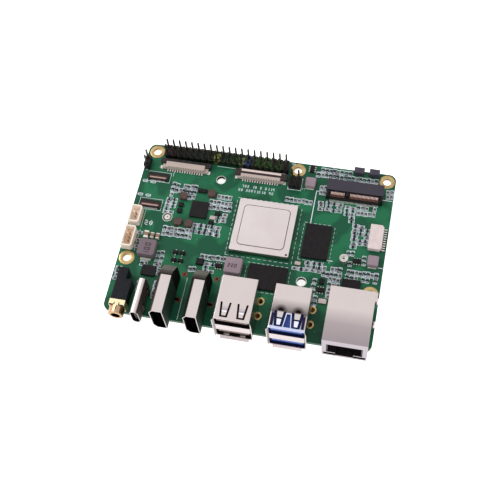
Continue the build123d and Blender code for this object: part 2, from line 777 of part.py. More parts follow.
def card_socket(mount):
    """An M.2 socket on the mount plane, whose local y points to the rear and z away from the board."""
    half = card_socket_length / 2
    slot_top = card_slot_floor + card_slot_height
    beam = 0.12
    room = card_socket_length - 2 * (card_end_block + card_contact_room) - card_contact_width
    contact_places = [
        x for x in places_along(0, card_contact_pitch, int(room / card_contact_pitch) + 1)
        if abs(x - card_key_offset) > card_key_width / 2 + 0.4]
    with BuildPart() as contacts:
        with BuildSketch(*[side_plane(mount, x - card_contact_width / 2) for x in contact_places]):
            with Locations(((-card_stop - 1.5 - card_socket_depth) / 2, card_slot_floor + beam / 2)):
                Rectangle(card_socket_depth - card_stop - 1.5, beam)
        extrude(amount=card_contact_width)
    with BuildPart() as housing:
        with BuildSketch(side_plane(mount, -half)):
            Polygon(
                (0, 0), (0, card_socket_height), (-card_roof_depth, card_socket_height),
                (-card_roof_depth, slot_top), (-card_stop, slot_top), (-card_stop, card_slot_floor),
                (-card_socket_depth, card_slot_floor), (-card_socket_depth, 0), align=None)
        extrude(amount=card_socket_length)
        for start in (-half, half - card_end_block):
            with BuildSketch(side_plane(mount, start)):
                Polygon(
                    (-card_stop + 0.5, card_slot_floor), (-card_stop + 0.5, slot_top), (-card_socket_depth, slot_top),
                    (-card_socket_depth, card_slot_floor), align=None)
            extrude(amount=card_end_block)
        with BuildSketch(side_plane(mount, card_key_offset - card_key_width / 2)):
            Polygon(
                (-card_stop + 0.5, card_slot_floor), (-card_stop + 0.5, slot_top),
                (0.4 - card_socket_depth, slot_top), (0.4 - card_socket_depth, card_slot_floor), align=None)
        extrude(amount=card_key_width)
    return housing, contacts


m2_socket, m2_upper_contacts = card_socket(Plane(
    origin=(card_socket_center_x, card_socket_rear_y, board_thickness), x_dir=(1, 0, 0), z_dir=(0, 0, 1)))
m2_lower_socket, m2_lower_contacts = card_socket(Plane(
    origin=(lower_socket_rear_x, lower_socket_center_y, 0), x_dir=(0, 1, 0), z_dir=(0, 0, -1)))

with BuildPart() as m2_socket_contacts:
    add(m2_upper_contacts.part)
    add(m2_lower_contacts.part)

with BuildPart() as m2_standoff:
    with BuildSketch(top):
        with Locations(card_standoff_center):
            RegularPolygon(card_standoff_d / 2, card_standoff_sides)
            Circle(card_thread_d / 2, mode=Mode.SUBTRACT)
    extrude(amount=card_standoff_height)

with BuildPart() as m2_lower_nut:
    for start, height, nut_d in (
            (-lower_nut_height, lower_nut_height, lower_nut_d), (0, board_thickness, lower_nut_barrel_d)):
        with BuildSketch(Plane.XY.offset(start)):
            with Locations(lower_nut_center):
                RegularPolygon(nut_d / 2, lower_nut_sides)
                Circle(card_thread_d / 2, mode=Mode.SUBTRACT)
        extrude(amount=height)

sd_length, sd_width, sd_height = sd_socket_size
sd_rail = 1.2
with BuildPart() as microsd_socket_shell:
    with BuildSketch(Plane.XY.offset(-sd_height)):
        with Locations(sd_socket_center):
            Rectangle(sd_length, sd_width)
    extrude(amount=sd_height)
    with BuildSketch(Plane.XY.offset(-sd_height + sd_shell_wall)):
        with Locations((sd_socket_center[0] - sd_shell_wall, sd_socket_center[1])):
            Rectangle(sd_length, sd_width - 2 * sd_shell_wall)
    extrude(amount=sd_height, mode=Mode.SUBTRACT)
with BuildPart() as microsd_socket_base:
    with BuildSketch(Plane.XY.offset(-sd_height + sd_shell_wall)):
        with Locations((sd_socket_center[0] - sd_shell_wall / 2, sd_socket_center[1])):
            Rectangle(sd_length - sd_shell_wall, sd_width - 2 * sd_shell_wall)
    extrude(amount=sd_height - sd_shell_wall)
    with BuildSketch(Plane.XY.offset(-sd_height + sd_shell_wall)):
        with Locations((sd_socket_center[0] - sd_shell_wall - sd_rail, sd_socket_center[1])):
            Rectangle(sd_length, sd_width - 2 * sd_shell_wall - 2 * sd_rail)
    extrude(amount=sd_mouth_height, mode=Mode.SUBTRACT)


# ------------------------------------------------------------------ port edge
# Audio socket: black body, gold collar and barrel, one bore through them
audio_x, audio_z = audio_axis
collar_front = audio_front + audio_barrel_length
collar_rear = collar_front + audio_collar_depth
with BuildPart() as audio_jack_body:
    with BuildSketch(facing_front(collar_rear + audio_wide_depth)):
        with Locations((audio_body_width / 2, audio_body_height / 2)):
            Rectangle(audio_body_width, audio_body_height)
    extrude(amount=audio_wide_depth)
    with BuildSketch(facing_front(collar_rear + audio_wide_depth + audio_narrow_depth)):
        with Locations((audio_narrow_width / 2, audio_body_height / 2)):
            Rectangle(audio_narrow_width, audio_body_height)
    extrude(amount=audio_narrow_depth)
    with BuildSketch(facing_front(collar_rear)):
        with Locations(audio_axis):
            Circle(audio_bore_d / 2)
    extrude(amount=-(audio_bore_depth - audio_barrel_length - audio_collar_depth), mode=Mode.SUBTRACT)
with BuildPart() as audio_jack_barrel:
    with BuildSketch(facing_front(collar_rear)):
        with Locations((audio_x, audio_collar_height / 2)):
            Rectangle(audio_body_width, audio_collar_height)
    extrude(amount=audio_collar_depth)
    with BuildSketch(facing_front(collar_front)):
        with Locations(audio_axis):
            RegularPolygon(audio_barrel_d / 2, audio_barrel_sides)
    extrude(amount=audio_barrel_length)
    chamfer(audio_jack_barrel.faces().sort_by(Axis.Y)[0].edges(), 0.2)
    with BuildSketch(facing_front(collar_rear)):
        with Locations(audio_axis):
            Circle(audio_bore_d / 2)
    extrude(amount=audio_collar_depth + audio_barrel_length, mode=Mode.SUBTRACT)


def side_lips(center, half, front):
    """Flared plates on both sides of a mouth, seen from above."""
    out, forward = lip_length * sin(radians(lip_angle)), lip_length * cos(radians(lip_angle))
    for side in (-1, 1):
        Polygon(
            (center + side * (half - shell_wall), front), (center + side * half, front),
            (center + side * (half + out), front - forward),
            (center + side * (half - shell_wall + out), front - forward), align=None)


def bottom_lip(front):
    """A flared plate under a mouth, seen from the side."""
    out, forward = lip_length * sin(radians(lip_angle)), lip_length * cos(radians(lip_angle))
    Polygon(
        (front, shell_seat), (front, shell_seat + shell_wall),
        (front - forward, shell_seat + shell_wall - out), (front - forward, shell_seat - out), align=None)


def usb_stack(number):
    """Two stacked USB sockets: the folded shell, the insert with both tongues, and the contacts."""
    center, front = usb_centers[number], usb_fronts[number]
    rear = front + usb_depth
    inner_width = usb_width - 2 * shell_wall
    lower_bottom = shell_seat + usb_mouth_rise
    lower_top = lower_bottom + usb_mouth_height
    upper_top = usb_height - shell_wall
    upper_bottom = upper_top - usb_mouth_height
    tongue_width = inner_width - 1.4
    with BuildPart() as shell:
        with BuildSketch(facing_front(rear)):
            with Locations((center, (shell_seat + usb_height) / 2)):
                RectangleRounded(usb_width, usb_height - shell_seat, 0.4)
        extrude(amount=usb_depth)
        with BuildSketch(facing_front(rear - shell_wall)):
            with Locations((center, (shell_seat + usb_height) / 2)):
                Rectangle(inner_width, usb_height - shell_seat - 2 * shell_wall)
        extrude(amount=usb_depth, mode=Mode.SUBTRACT)
        with BuildSketch(facing_front(front + shell_wall)):
            with Locations((center, (lower_top + upper_bottom) / 2)):
                Rectangle(inner_width, upper_bottom - lower_top)
            with Locations((center, (shell_seat + shell_wall + lower_bottom) / 2)):
                Rectangle(inner_width, lower_bottom - shell_seat - shell_wall)
        extrude(amount=shell_wall)
        with BuildSketch(level(lower_bottom + shell_wall)):
            side_lips(center, usb_width / 2, front)
        extrude(amount=upper_top - lower_bottom - 2 * shell_wall)
        with BuildSketch(facing_right(center - usb_width / 2 + 4 * shell_wall)):
            bottom_lip(front)
        extrude(amount=usb_width - 8 * shell_wall)
        with BuildSketch(Plane.XY.offset(-tab_tail)):
            with Locations(*[
                    (center + side * (usb_width - shell_wall) / 2, front + setback)
                    for side in (-1, 1) for setback in usb_tab_setbacks]):
                Rectangle(shell_wall, tab_width)
        extrude(amount=tab_tail + board_thickness + 2 * shell_wall)
        # Sprung fingers in the top plate
        with BuildSketch(level(usb_height)):
            for side in (-1, 1):
                finger_x = center + side * usb_finger_spread
                finger_front = front + usb_finger_setback
                finger_rear = finger_front + usb_finger_length
                half_tip, half_root = usb_finger_half_widths
                Polygon(
                    (finger_x - half_tip - usb_slit, finger_front), (finger_x + half_tip + usb_slit, finger_front),
                    (finger_x + half_root + usb_slit, finger_rear), (finger_x - half_root - usb_slit, finger_rear),
                    align=None)
                Polygon(
                    (finger_x - half_tip, finger_front + 0.5), (finger_x + half_tip, finger_front + 0.5),
                    (finger_x + half_root, finger_rear), (finger_x - half_root, finger_rear), align=None,
                    mode=Mode.SUBTRACT)
            if number == 1:
                half_front, half_rear = usb3_window_half_widths
                window_rear = finger_front + usb3_window_length
                Polygon(
                    (center - half_front, finger_front), (center + half_front, finger_front),
                    (center + half_rear, window_rear), (center - half_rear, window_rear), align=None)
        extrude(amount=-shell_wall, mode=Mode.SUBTRACT)
    with BuildPart() as insert:
        block_front = front + usb_mouth_depth
        block_depth = rear - shell_wall - block_front
        with BuildSketch(facing_front(rear - shell_wall)):
            with Locations((center, (shell_seat + usb_height) / 2)):
                Rectangle(inner_width, usb_height - shell_seat - 2 * shell_wall)
        extrude(amount=block_depth)
        with BuildSketch(facing_front(block_front)):
            with Locations((center, (lower_top + upper_bottom) / 2)):
                Rectangle(inner_width, upper_bottom - lower_top)
            with Locations((center, (shell_seat + shell_wall + lower_bottom) / 2)):
                Rectangle(inner_width, lower_bottom - shell_seat - shell_wall)
        extrude(amount=usb_mouth_depth - shell_wall)
        with BuildSketch(facing_front(block_front)):
            for mouth_top in (lower_top, upper_top):
                with Locations((center, mouth_top - usb_tongue_gap - usb_tongue_thickness / 2)):
                    Rectangle(tongue_width, usb_tongue_thickness)
        extrude(amount=usb_mouth_depth - usb_tongue_setback)
    return shell, insert


usb2_shell, usb2_insert = usb_stack(0)
usb3_shell, usb3_insert = usb_stack(1)
with BuildPart() as usb_contacts:
    for center, front in zip(usb_centers, usb_fronts):
        for mouth_top in (shell_seat + usb_mouth_rise + usb_mouth_height, usb_height - shell_wall):
            with BuildSketch(facing_front(front + usb_mouth_depth)):
                for x in places_along(center, usb_contact_pitch, 4):
                    with Locations((x, mouth_top - usb_tongue_gap - usb_tongue_thickness - 0.1)):
                        Rectangle(1.0, 0.2)
            extrude(amount=usb_mouth_depth - usb_tongue_setback - 1.5)


def hdmi_outline(center, inset):
    """The mouth's outline on edge: wide side to +X, the corners cut on the other side."""
    half = hdmi_thickness / 2
    low, high = shell_seat, shell_seat + hdmi_mouth_width + 2 * shell_wall
    across, along = hdmi_chamfer
    Polygon(
        (center + half, low), (center + half, high), (center - half + across, high),
        (center - half, high - along), (center - half, low + along), (center - half + across, low), align=None)
    if inset:
        offset(amount=-inset, kind=Kind.INTERSECTION, mode=Mode.REPLACE)


def hdmi_socket(number):
    """An HDMI socket standing on edge: shell with tabs, insert with tongue and rear hood."""
    center = hdmi_centers[number]
    half = hdmi_thickness / 2
    rear = hdmi_front + hdmi_depth
    middle = shell_seat + shell_wall + hdmi_mouth_width / 2
    hood_top = shell_seat + hdmi_mouth_width + 2 * shell_wall - hdmi_hood_drop
    hood_rear = rear + hdmi_hood_depth
    with BuildPart() as shell:
        with BuildSketch(facing_front(rear)):
            hdmi_outline(center, 0)
        extrude(amount=hdmi_depth)
        with BuildSketch(facing_front(rear)):
            hdmi_outline(center, shell_wall)
        extrude(amount=hdmi_depth, mode=Mode.SUBTRACT)
        reach = half + hdmi_ring_out
        with BuildSketch(facing_front(hdmi_front + hdmi_ring_setbacks[0] + hdmi_tab_width / 2)):
            for side in (-1, 1):
                with Locations((center + side * (reach + half - hdmi_chamfer[0]) / 2, shell_seat + shell_wall / 2)):
                    Rectangle(reach - half + hdmi_chamfer[0] + shell_wall, shell_wall)
                with Locations((center + side * reach, (shell_floor_height - tab_tail) / 2)):
                    Rectangle(shell_wall, shell_floor_height + tab_tail)
        extrude(amount=hdmi_tab_width)
    with BuildPart() as insert:
        with BuildSketch(facing_front(rear)):
            hdmi_outline(center, shell_wall)
        extrude(amount=hdmi_depth - hdmi_mouth_depth)
        with BuildSketch(facing_front(rear - hdmi_depth + hdmi_mouth_depth)):
            with Locations((center + 0.2, middle)):
                Rectangle(hdmi_tongue_thickness, hdmi_mouth_width - 3.0)
        extrude(amount=hdmi_mouth_depth - 1.0)
        with BuildSketch(facing_right(center - half + 0.1)):
            Polygon(
                (rear, 0), (rear, hood_top), (hood_rear - hdmi_hood_slope[0], hood_top),
                (hood_rear, hood_top - hdmi_hood_slope[1]), (hood_rear, 0), align=None)
        extrude(amount=hdmi_thickness - 0.2)
    return shell, insert


hdmi_1_shell, hdmi_1_insert = hdmi_socket(0)
hdmi_2_shell, hdmi_2_insert = hdmi_socket(1)

# USB-C socket, standing on its rounded side
usb_c_rear = usb_c_front + usb_c_depth
usb_c_height = shell_seat + usb_c_width / 2
with BuildPart() as usb_c_shell:
    with BuildSketch(facing_front(usb_c_rear)):
        with Locations((usb_c_center, usb_c_height)):
            SlotOverall(usb_c_width, usb_c_thickness, rotation=90)
            SlotOverall(usb_c_width - 2 * shell_wall, usb_c_thickness - 2 * shell_wall, rotation=90, mode=Mode.SUBTRACT)
    extrude(amount=usb_c_depth)
    for setback in (4.6, 11.0):
        with BuildSketch(facing_front(usb_c_front + setback + tab_width)):
            for side in (-1, 1):
                with Locations((usb_c_center + side * (usb_c_thickness + shell_wall) / 2, usb_c_height / 2)):
                    Rectangle(shell_wall, usb_c_height)
        extrude(amount=tab_width)
with BuildPart() as usb_c_tongue:
    with BuildSketch(facing_front(usb_c_rear)):
        with Locations((usb_c_center, usb_c_height)):
            SlotOverall(usb_c_width - 2 * shell_wall, usb_c_thickness - 2 * shell_wall, rotation=90)
    extrude(amount=usb_c_depth - usb_c_mouth_depth)
    with BuildSketch(facing_front(usb_c_front + usb_c_mouth_depth)):
        with Locations((usb_c_center, usb_c_height)):
            Rectangle(usb_c_tongue_size[1], usb_c_tongue_size[0])
    extrude(amount=usb_c_mouth_depth - 0.8)

# Network socket
network_rear = network_front + network_depth
network_inner = network_width - 2 * shell_wall
network_contact_bottom = network_mouth_top - network_contact_drop


def network_mouth(width):
    """The mouth with its latch slot at the bottom, drawn on a plane facing the front."""
    with Locations((network_center, (network_ledge + network_mouth_top) / 2)):
        Rectangle(width, network_mouth_top - network_ledge)
    with Locations((network_center, (network_mouth_bottom + network_ledge) / 2)):
        Rectangle(network_latch_width, network_ledge - network_mouth_bottom)


with BuildPart() as network_jack_shell:
    with BuildSketch(facing_front(network_rear)):
        with Locations((network_center, (shell_seat + network_height) / 2)):
            Rectangle(network_width, network_height - shell_seat)
    extrude(amount=network_depth)
    with BuildSketch(facing_front(network_rear - shell_wall)):
        with Locations((network_center, (network_height - shell_wall) / 2)):
            Rectangle(network_inner, network_height - shell_wall)
    extrude(amount=network_depth - 2 * shell_wall, mode=Mode.SUBTRACT)
    with BuildSketch(facing_front(network_front + shell_wall)):
        network_mouth(network_mouth_width)
    extrude(amount=shell_wall, mode=Mode.SUBTRACT)
    with BuildSketch(facing_front(network_rear)):
        with Locations((network_center + (network_width + network_ear[0]) / 2, network_height - network_ear[2] / 2 - 0.4)):
            Rectangle(network_ear[0], network_ear[2])
    extrude(amount=network_ear[1])
with BuildPart() as network_jack_insert:
    with BuildSketch(facing_front(network_rear - shell_wall)):
        with Locations((network_center, (network_height - shell_wall) / 2)):
            Rectangle(network_inner, network_height - shell_wall)
    extrude(amount=network_depth - 2 * shell_wall)
    with BuildSketch(facing_front(network_front + network_cavity_depth)):
        network_mouth(network_cavity_width)
    extrude(amount=network_cavity_depth, mode=Mode.SUBTRACT)
with BuildPart() as network_jack_contacts:
    near, far = network_front + 2.5, network_front + 9.5
    with BuildSketch(*[
            facing_right(x - 0.2) for x in places_along(network_center, network_contact_pitch, network_contact_count)]):
        Polygon(
            (near, network_mouth_top), (near + 1.0, network_mouth_top),
            (far, network_contact_bottom + 0.4), (far, network_contact_bottom), align=None)
    extrude(amount=0.4)


# ------------------------------------------------------------------ side buttons
button_width, button_depth, button_height = button_size
plunger_width, plunger_height = button_plunger
button_mid = button_height / 2
with BuildPart() as button_bodies:
    with BuildSketch(facing_front(button_rear_y)):
        with Locations(*[(x, button_mid) for x in button_centers_x]):
            Rectangle(button_width, button_height)
    extrude(amount=button_depth)
    with BuildSketch(facing_front(button_rear_y)):
        with Locations(*[(x, button_mid) for x in button_centers_x]):
            Rectangle(plunger_width + 2 * button_plunger_fit, plunger_height + 2 * button_plunger_fit)
    extrude(amount=button_pocket_depth, mode=Mode.SUBTRACT)


def plunger(number):
    """The square button of one switch, at rest."""
    with BuildPart() as button:
        with BuildSketch(facing_front(button_rear_y + button_stand_out)):
            with Locations((button_centers_x[number], button_mid)):
                Rectangle(plunger_width, plunger_height)
        extrude(amount=button_stand_out + button_pocket_depth - button_travel - 2 * button_plunger_fit)
        chamfer(button.faces().sort_by(Axis.Y)[-1].edges(), 0.1)
    return button


power_button_plunger = plunger(0)
reset_button_plunger = plunger(1)

# ------------------------------------------------------------------ files
pieces = {
    "board": board,
    "hole_plating": hole_plating,
    "solder_rings": solder_rings,
    "processor_substrate": processor_substrate,
    "processor_lid": processor_lid,
    "memory_chips": memory_chips,
    "power_chip": power_chip,
    "interface_chips": interface_chips,
    "small_chips": small_chips,
    "small_chip_leads": small_chip_leads,
    "power_inductors": power_inductors,
    "chip_inductors": chip_inductors,
    "large_capacitors": large_capacitors,
    "chip_capacitors": chip_capacitors,
    "chip_resistors": chip_resistors,
    "crystals": crystals,
    "gpio_header_base": gpio_header_base,
    "gpio_header_pins": gpio_header_pins,
    "small_header_bases": small_header_bases,
    "small_header_pins": small_header_pins,
    "display_socket_1": display_socket_1,
    "display_socket_1_lock": display_socket_1_lock,
    "display_socket_2": display_socket_2,
    "display_socket_2_lock": display_socket_2_lock,
    "camera_socket_1": camera_socket_1,
    "camera_socket_1_flap": camera_socket_1_flap,
    "camera_socket_2": camera_socket_2,
    "camera_socket_2_flap": camera_socket_2_flap,
    "ribbon_contacts": ribbon_contacts,
    "touch_socket": touch_socket,
    "touch_socket_contacts": touch_contacts,
    "wire_socket_1": wire_socket_1,
    "wire_socket_2": wire_socket_2,
    "wire_socket_pins": wire_socket_pins,
    "m2_socket": m2_socket,
    "m2_socket_contacts": m2_socket_contacts,
    "m2_standoff": m2_standoff,
    "m2_lower_socket": m2_lower_socket,
    "m2_lower_nut": m2_lower_nut,
    "microsd_socket_shell": microsd_socket_shell,
    "microsd_socket_base": microsd_socket_base,
    "audio_jack_body": audio_jack_body,
    "audio_jack_barrel": audio_jack_barrel,
    "usb_c_shell": usb_c_shell,
    "usb_c_tongue": usb_c_tongue,
    "hdmi_1_shell": hdmi_1_shell,
    "hdmi_1_insert": hdmi_1_insert,
    "hdmi_2_shell": hdmi_2_shell,
    "hdmi_2_insert": hdmi_2_insert,
    "usb2_shell": usb2_shell,
    "usb2_insert": usb2_insert,
    "usb3_shell": usb3_shell,
    "usb3_insert": usb3_insert,
    "usb_contacts": usb_contacts,
    "network_jack_shell": network_jack_shell,
    "network_jack_insert": network_jack_insert,
    "network_jack_contacts": network_jack_contacts,
    "button_bodies": button_bodies,
    "power_button_plunger": power_button_plunger,
    "reset_button_plunger": reset_button_plunger,
}
for name, piece in pieces.items():
    piece.part.label = name
    export_step(piece.part, f"parts/{name}.step")
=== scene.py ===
# A single board computer, dressed for a studio picture.  The solids come from the
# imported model; this file gives them their finishes and adds the print on the board
# and the pieces that are too small or too many for plain solids.

import math
import random

import bpy
from mathutils import Matrix, Vector
from mathutils.bvhtree import BVHTree


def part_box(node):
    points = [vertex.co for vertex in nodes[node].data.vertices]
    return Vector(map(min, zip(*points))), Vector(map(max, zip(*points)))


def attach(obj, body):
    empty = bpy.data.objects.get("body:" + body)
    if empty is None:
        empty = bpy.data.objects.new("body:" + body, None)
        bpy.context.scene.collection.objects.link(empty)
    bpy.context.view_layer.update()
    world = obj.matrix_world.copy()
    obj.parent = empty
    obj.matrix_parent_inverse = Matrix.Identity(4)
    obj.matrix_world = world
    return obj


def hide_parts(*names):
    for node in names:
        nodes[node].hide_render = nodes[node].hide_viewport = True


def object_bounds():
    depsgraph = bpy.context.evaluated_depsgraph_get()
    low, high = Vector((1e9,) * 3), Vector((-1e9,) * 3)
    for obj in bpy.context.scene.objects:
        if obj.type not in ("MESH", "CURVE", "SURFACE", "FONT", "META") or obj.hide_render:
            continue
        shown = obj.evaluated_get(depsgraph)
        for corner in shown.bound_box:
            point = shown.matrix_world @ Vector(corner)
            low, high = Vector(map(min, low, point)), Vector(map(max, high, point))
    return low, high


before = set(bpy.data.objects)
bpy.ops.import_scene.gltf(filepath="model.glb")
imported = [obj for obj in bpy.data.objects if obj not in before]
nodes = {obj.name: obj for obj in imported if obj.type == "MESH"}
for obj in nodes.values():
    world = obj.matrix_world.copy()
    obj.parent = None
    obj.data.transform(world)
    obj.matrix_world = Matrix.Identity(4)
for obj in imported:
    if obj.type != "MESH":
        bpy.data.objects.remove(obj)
cad_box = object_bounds()
bpy.ops.object.select_all(action="DESELECT")

# ---------------------------------------------------------------- studio
# A long lens looks down on the port edge from above and from the right.  A pale room
# lights the board softly, with one weak lamp at the rear left and one at the front,
# over a white table.


def colour(code):
    """An sRGB hex value as the linear colour that a shader wants."""
    channels = [int(code[i:i + 2], 16) / 255 for i in (1, 3, 5)]
    return [c / 12.92 if c <= 0.04045 else ((c + 0.055) / 1.055) ** 2.4 for c in channels] + [1.0]


def add_node(tree, kind, inputs=(), **settings):
    """Adds one node: settings are its properties, inputs are socket values or the outputs to link from."""
    made = tree.nodes.new(kind)
    for name, value in settings.items():
        setattr(made, name, value)
    for name, value in dict(inputs).items():
        if isinstance(value, bpy.types.NodeSocket):
            tree.links.new(value, made.inputs[name])
        else:
            made.inputs[name].default_value = value
    return made


def empty_tree(holder):
    """The node tree of a new material or world, with nothing in it."""
    holder.use_nodes = True
    holder.node_tree.nodes.clear()
    return holder.node_tree


def seen_rays(tree):
    """1 for the rays that show the background itself: from the camera, or by way of metal and glass."""
    rays = add_node(tree, "ShaderNodeLightPath").outputs
    seen = add_node(tree, "ShaderNodeMath", {0: rays["Is Camera Ray"], 1: rays["Is Glossy Ray"]},
                    operation="MAXIMUM")
    return add_node(tree, "ShaderNodeMath", {0: seen.outputs[0], 1: rays["Is Transmission Ray"]},
                    operation="MAXIMUM").outputs[0]


camera_data = bpy.data.cameras.new("camera")
camera_data.lens = 64.48
camera_data.sensor_width = 36.0
camera_data.clip_start = 0.01
camera = bpy.data.objects.new("camera", camera_data)
bpy.context.scene.collection.objects.link(camera)
# Where the camera stands, what is to its right and what is ahead of it
camera_place = Vector((0.096337, -0.190245, 0.302272))
rightward = Vector((0.97846, 0.19606, -0.06457)).normalized()
forward = Vector((-0.14768, 0.44633, -0.88260)).normalized()
upward = rightward.cross(forward).normalized()
rightward = forward.cross(upward).normalized()
camera_turn = Matrix((rightward, upward, -forward)).transposed().to_4x4()
camera.matrix_world = Matrix.Translation(camera_place) @ camera_turn
bpy.context.scene.camera = camera
bpy.context.scene.view_settings.view_transform = "Standard"

room = bpy.data.worlds.new("room")
bpy.context.scene.world = room
tree = empty_tree(room)
walls = add_node(tree, "ShaderNodeBackground", {"Color": colour("#fffdfb"), "Strength": 0.66})
white = add_node(tree, "ShaderNodeBackground", {"Color": (1, 1, 1, 1), "Strength": 1.0})
mixed = add_node(tree, "ShaderNodeMixShader", {0: seen_rays(tree), 1: walls.outputs[0], 2: white.outputs[0]})
add_node(tree, "ShaderNodeOutputWorld", {"Surface": mixed.outputs[0]})

board_middle = (0.045, -0.035, 0.0)
# Lamps: name, place, aim, size, power
for name, place, aim, size, power in (
        ("rear_left_lamp", (-0.40, 0.10, 0.42), board_middle, 0.25, 1.5),
        ("front_lamp", (0.20, -0.45, 0.30), (0.045, -0.06, 0.0), 0.30, 0.7)):
    lamp_data = bpy.data.lights.new(name, "AREA")
    lamp_data.size = size
    lamp_data.energy = power
    lamp = bpy.data.objects.new(name, lamp_data)
    bpy.context.scene.collection.objects.link(lamp)
    lamp.location = place
    lamp.rotation_euler = (Vector(aim) - Vector(place)).to_track_quat("-Z", "Y").to_euler()

# The table lies just under the lowest pins
table_gap = 0.0002
bpy.ops.mesh.primitive_plane_add(size=3.0, location=(*board_middle[:2], cad_box[0].z - table_gap))
table = bpy.context.object
table.name = "table_top"
white_laminate = bpy.data.materials.new("white_laminate")
tree = empty_tree(white_laminate)
matt = add_node(tree, "ShaderNodeBsdfDiffuse", {"Color": colour("#ffffff")})
glow = add_node(tree, "ShaderNodeEmission", {"Color": (1, 1, 1, 1), "Strength": 0.86})
both = add_node(tree, "ShaderNodeAddShader", {0: matt.outputs[0], 1: glow.outputs[0]})
mixed = add_node(tree, "ShaderNodeMixShader", {0: seen_rays(tree), 1: matt.outputs[0], 2: both.outputs[0]})
add_node(tree, "ShaderNodeOutputMaterial", {"Surface": mixed.outputs[0]})
table.data.materials.append(white_laminate)
bpy.ops.object.select_all(action="DESELECT")

# ---------------------------------------------------------------- circuit board
# Glass and epoxy board with a green solder mask.  The mask is clear enough to show the
# copper under it: pale green over copper, dark green where the copper is etched away.
MM = 0.001
board_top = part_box("board")[1].z / MM


def reach(node):
    """A solid's lowest corner, highest corner and middle, in mm."""
    low_corner, high_corner = [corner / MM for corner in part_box(node)]
    return low_corner, high_corner, (low_corner + high_corner) / 2


def dress(material, *names):
    """Gives the named solids this finish all over."""
    for name in names:
        nodes[name].data.materials.clear()
        nodes[name].data.materials.append(material)


solder_mask = bpy.data.materials.new("green_solder_mask")
tree = empty_tree(solder_mask)
place = add_node(tree, "ShaderNodeTexCoord").outputs["Object"]
normal = add_node(tree, "ShaderNodeNewGeometry").outputs["Normal"]
facing = add_node(tree, "ShaderNodeSeparateXYZ", {0: normal})
# Copper areas, 6 to 15 mm across
areas = add_node(tree, "ShaderNodeTexNoise", {"Vector": place, "Scale": 110.0, "Detail": 1.0})
areas = add_node(tree, "ShaderNodeMapRange", {0: areas.outputs[0], 1: 0.47, 2: 0.56})
# Track bundles at 0.8 mm, five times the real pitch, so that they show
tracks = add_node(tree, "ShaderNodeTexBrick", {
    "Vector": place, "Color1": (1, 1, 1, 1), "Color2": (0.7, 0.7, 0.7, 1), "Mortar": (0, 0, 0, 1),
    "Scale": 1.0, "Mortar Size": 0.00012, "Brick Width": 0.0094, "Row Height": 0.0008})
bundles = add_node(tree, "ShaderNodeTexNoise", {"Vector": place, "Scale": 60.0})
bundles = add_node(tree, "ShaderNodeMapRange", {0: bundles.outputs[0], 1: 0.55, 2: 0.62})
tracks = add_node(tree, "ShaderNodeMix", {0: bundles.outputs[0], 6: (1, 1, 1, 1), 7: tracks.outputs["Color"]},
                  data_type="RGBA")
copper = add_node(tree, "ShaderNodeMath", {0: areas.outputs[0], 1: tracks.outputs[2]}, operation="MULTIPLY")
mask = add_node(tree, "ShaderNodeMix", {0: copper.outputs[0], 6: colour("#125339"), 7: colour("#1d6d49")},
                data_type="RGBA")
# Via pads, about 0.4 mm across, in groups
vias = add_node(tree, "ShaderNodeTexVoronoi", {"Vector": place, "Scale": 520.0})
vias = add_node(tree, "ShaderNodeMapRange", {0: vias.outputs["Distance"], 1: 0.15, 2: 0.10})
groups = add_node(tree, "ShaderNodeTexNoise", {"Vector": place, "Scale": 75.0})
groups = add_node(tree, "ShaderNodeMapRange", {0: groups.outputs[0], 1: 0.56, 2: 0.66, 4: 0.55})
vias = add_node(tree, "ShaderNodeMath", {0: vias.outputs[0], 1: groups.outputs[0]}, operation="MULTIPLY")
mask = add_node(tree, "ShaderNodeMix", {0: vias.outputs[0], 6: mask.outputs[2], 7: colour("#78a88c")},
                data_type="RGBA")
# The sawn edges are a duller green all over
flat = add_node(tree, "ShaderNodeMath", {0: facing.outputs["Z"]}, operation="ABSOLUTE")
flat = add_node(tree, "ShaderNodeMath", {0: flat.outputs[0], 1: 0.5}, operation="GREATER_THAN")
mask = add_node(tree, "ShaderNodeMix", {0: flat.outputs[0], 6: colour("#1f4a30"), 7: mask.outputs[2]},
                data_type="RGBA")
relief = add_node(tree, "ShaderNodeBump", {"Height": copper.outputs[0], "Strength": 0.2, "Distance": 0.00004})
shader = add_node(tree, "ShaderNodeBsdfPrincipled", {
    "Base Color": mask.outputs[2], "Roughness": 0.32, "Specular IOR Level": 0.22,
    "Normal": relief.outputs[0]})
add_node(tree, "ShaderNodeOutputMaterial", {"Surface": shader.outputs[0]})
dress(solder_mask, "board")

# ---------------------------------------------------------------- board print
# White epoxy ink, screened on the mask: frames round the parts, dashed squares round
# the large chips, and a few rules and pad marks.


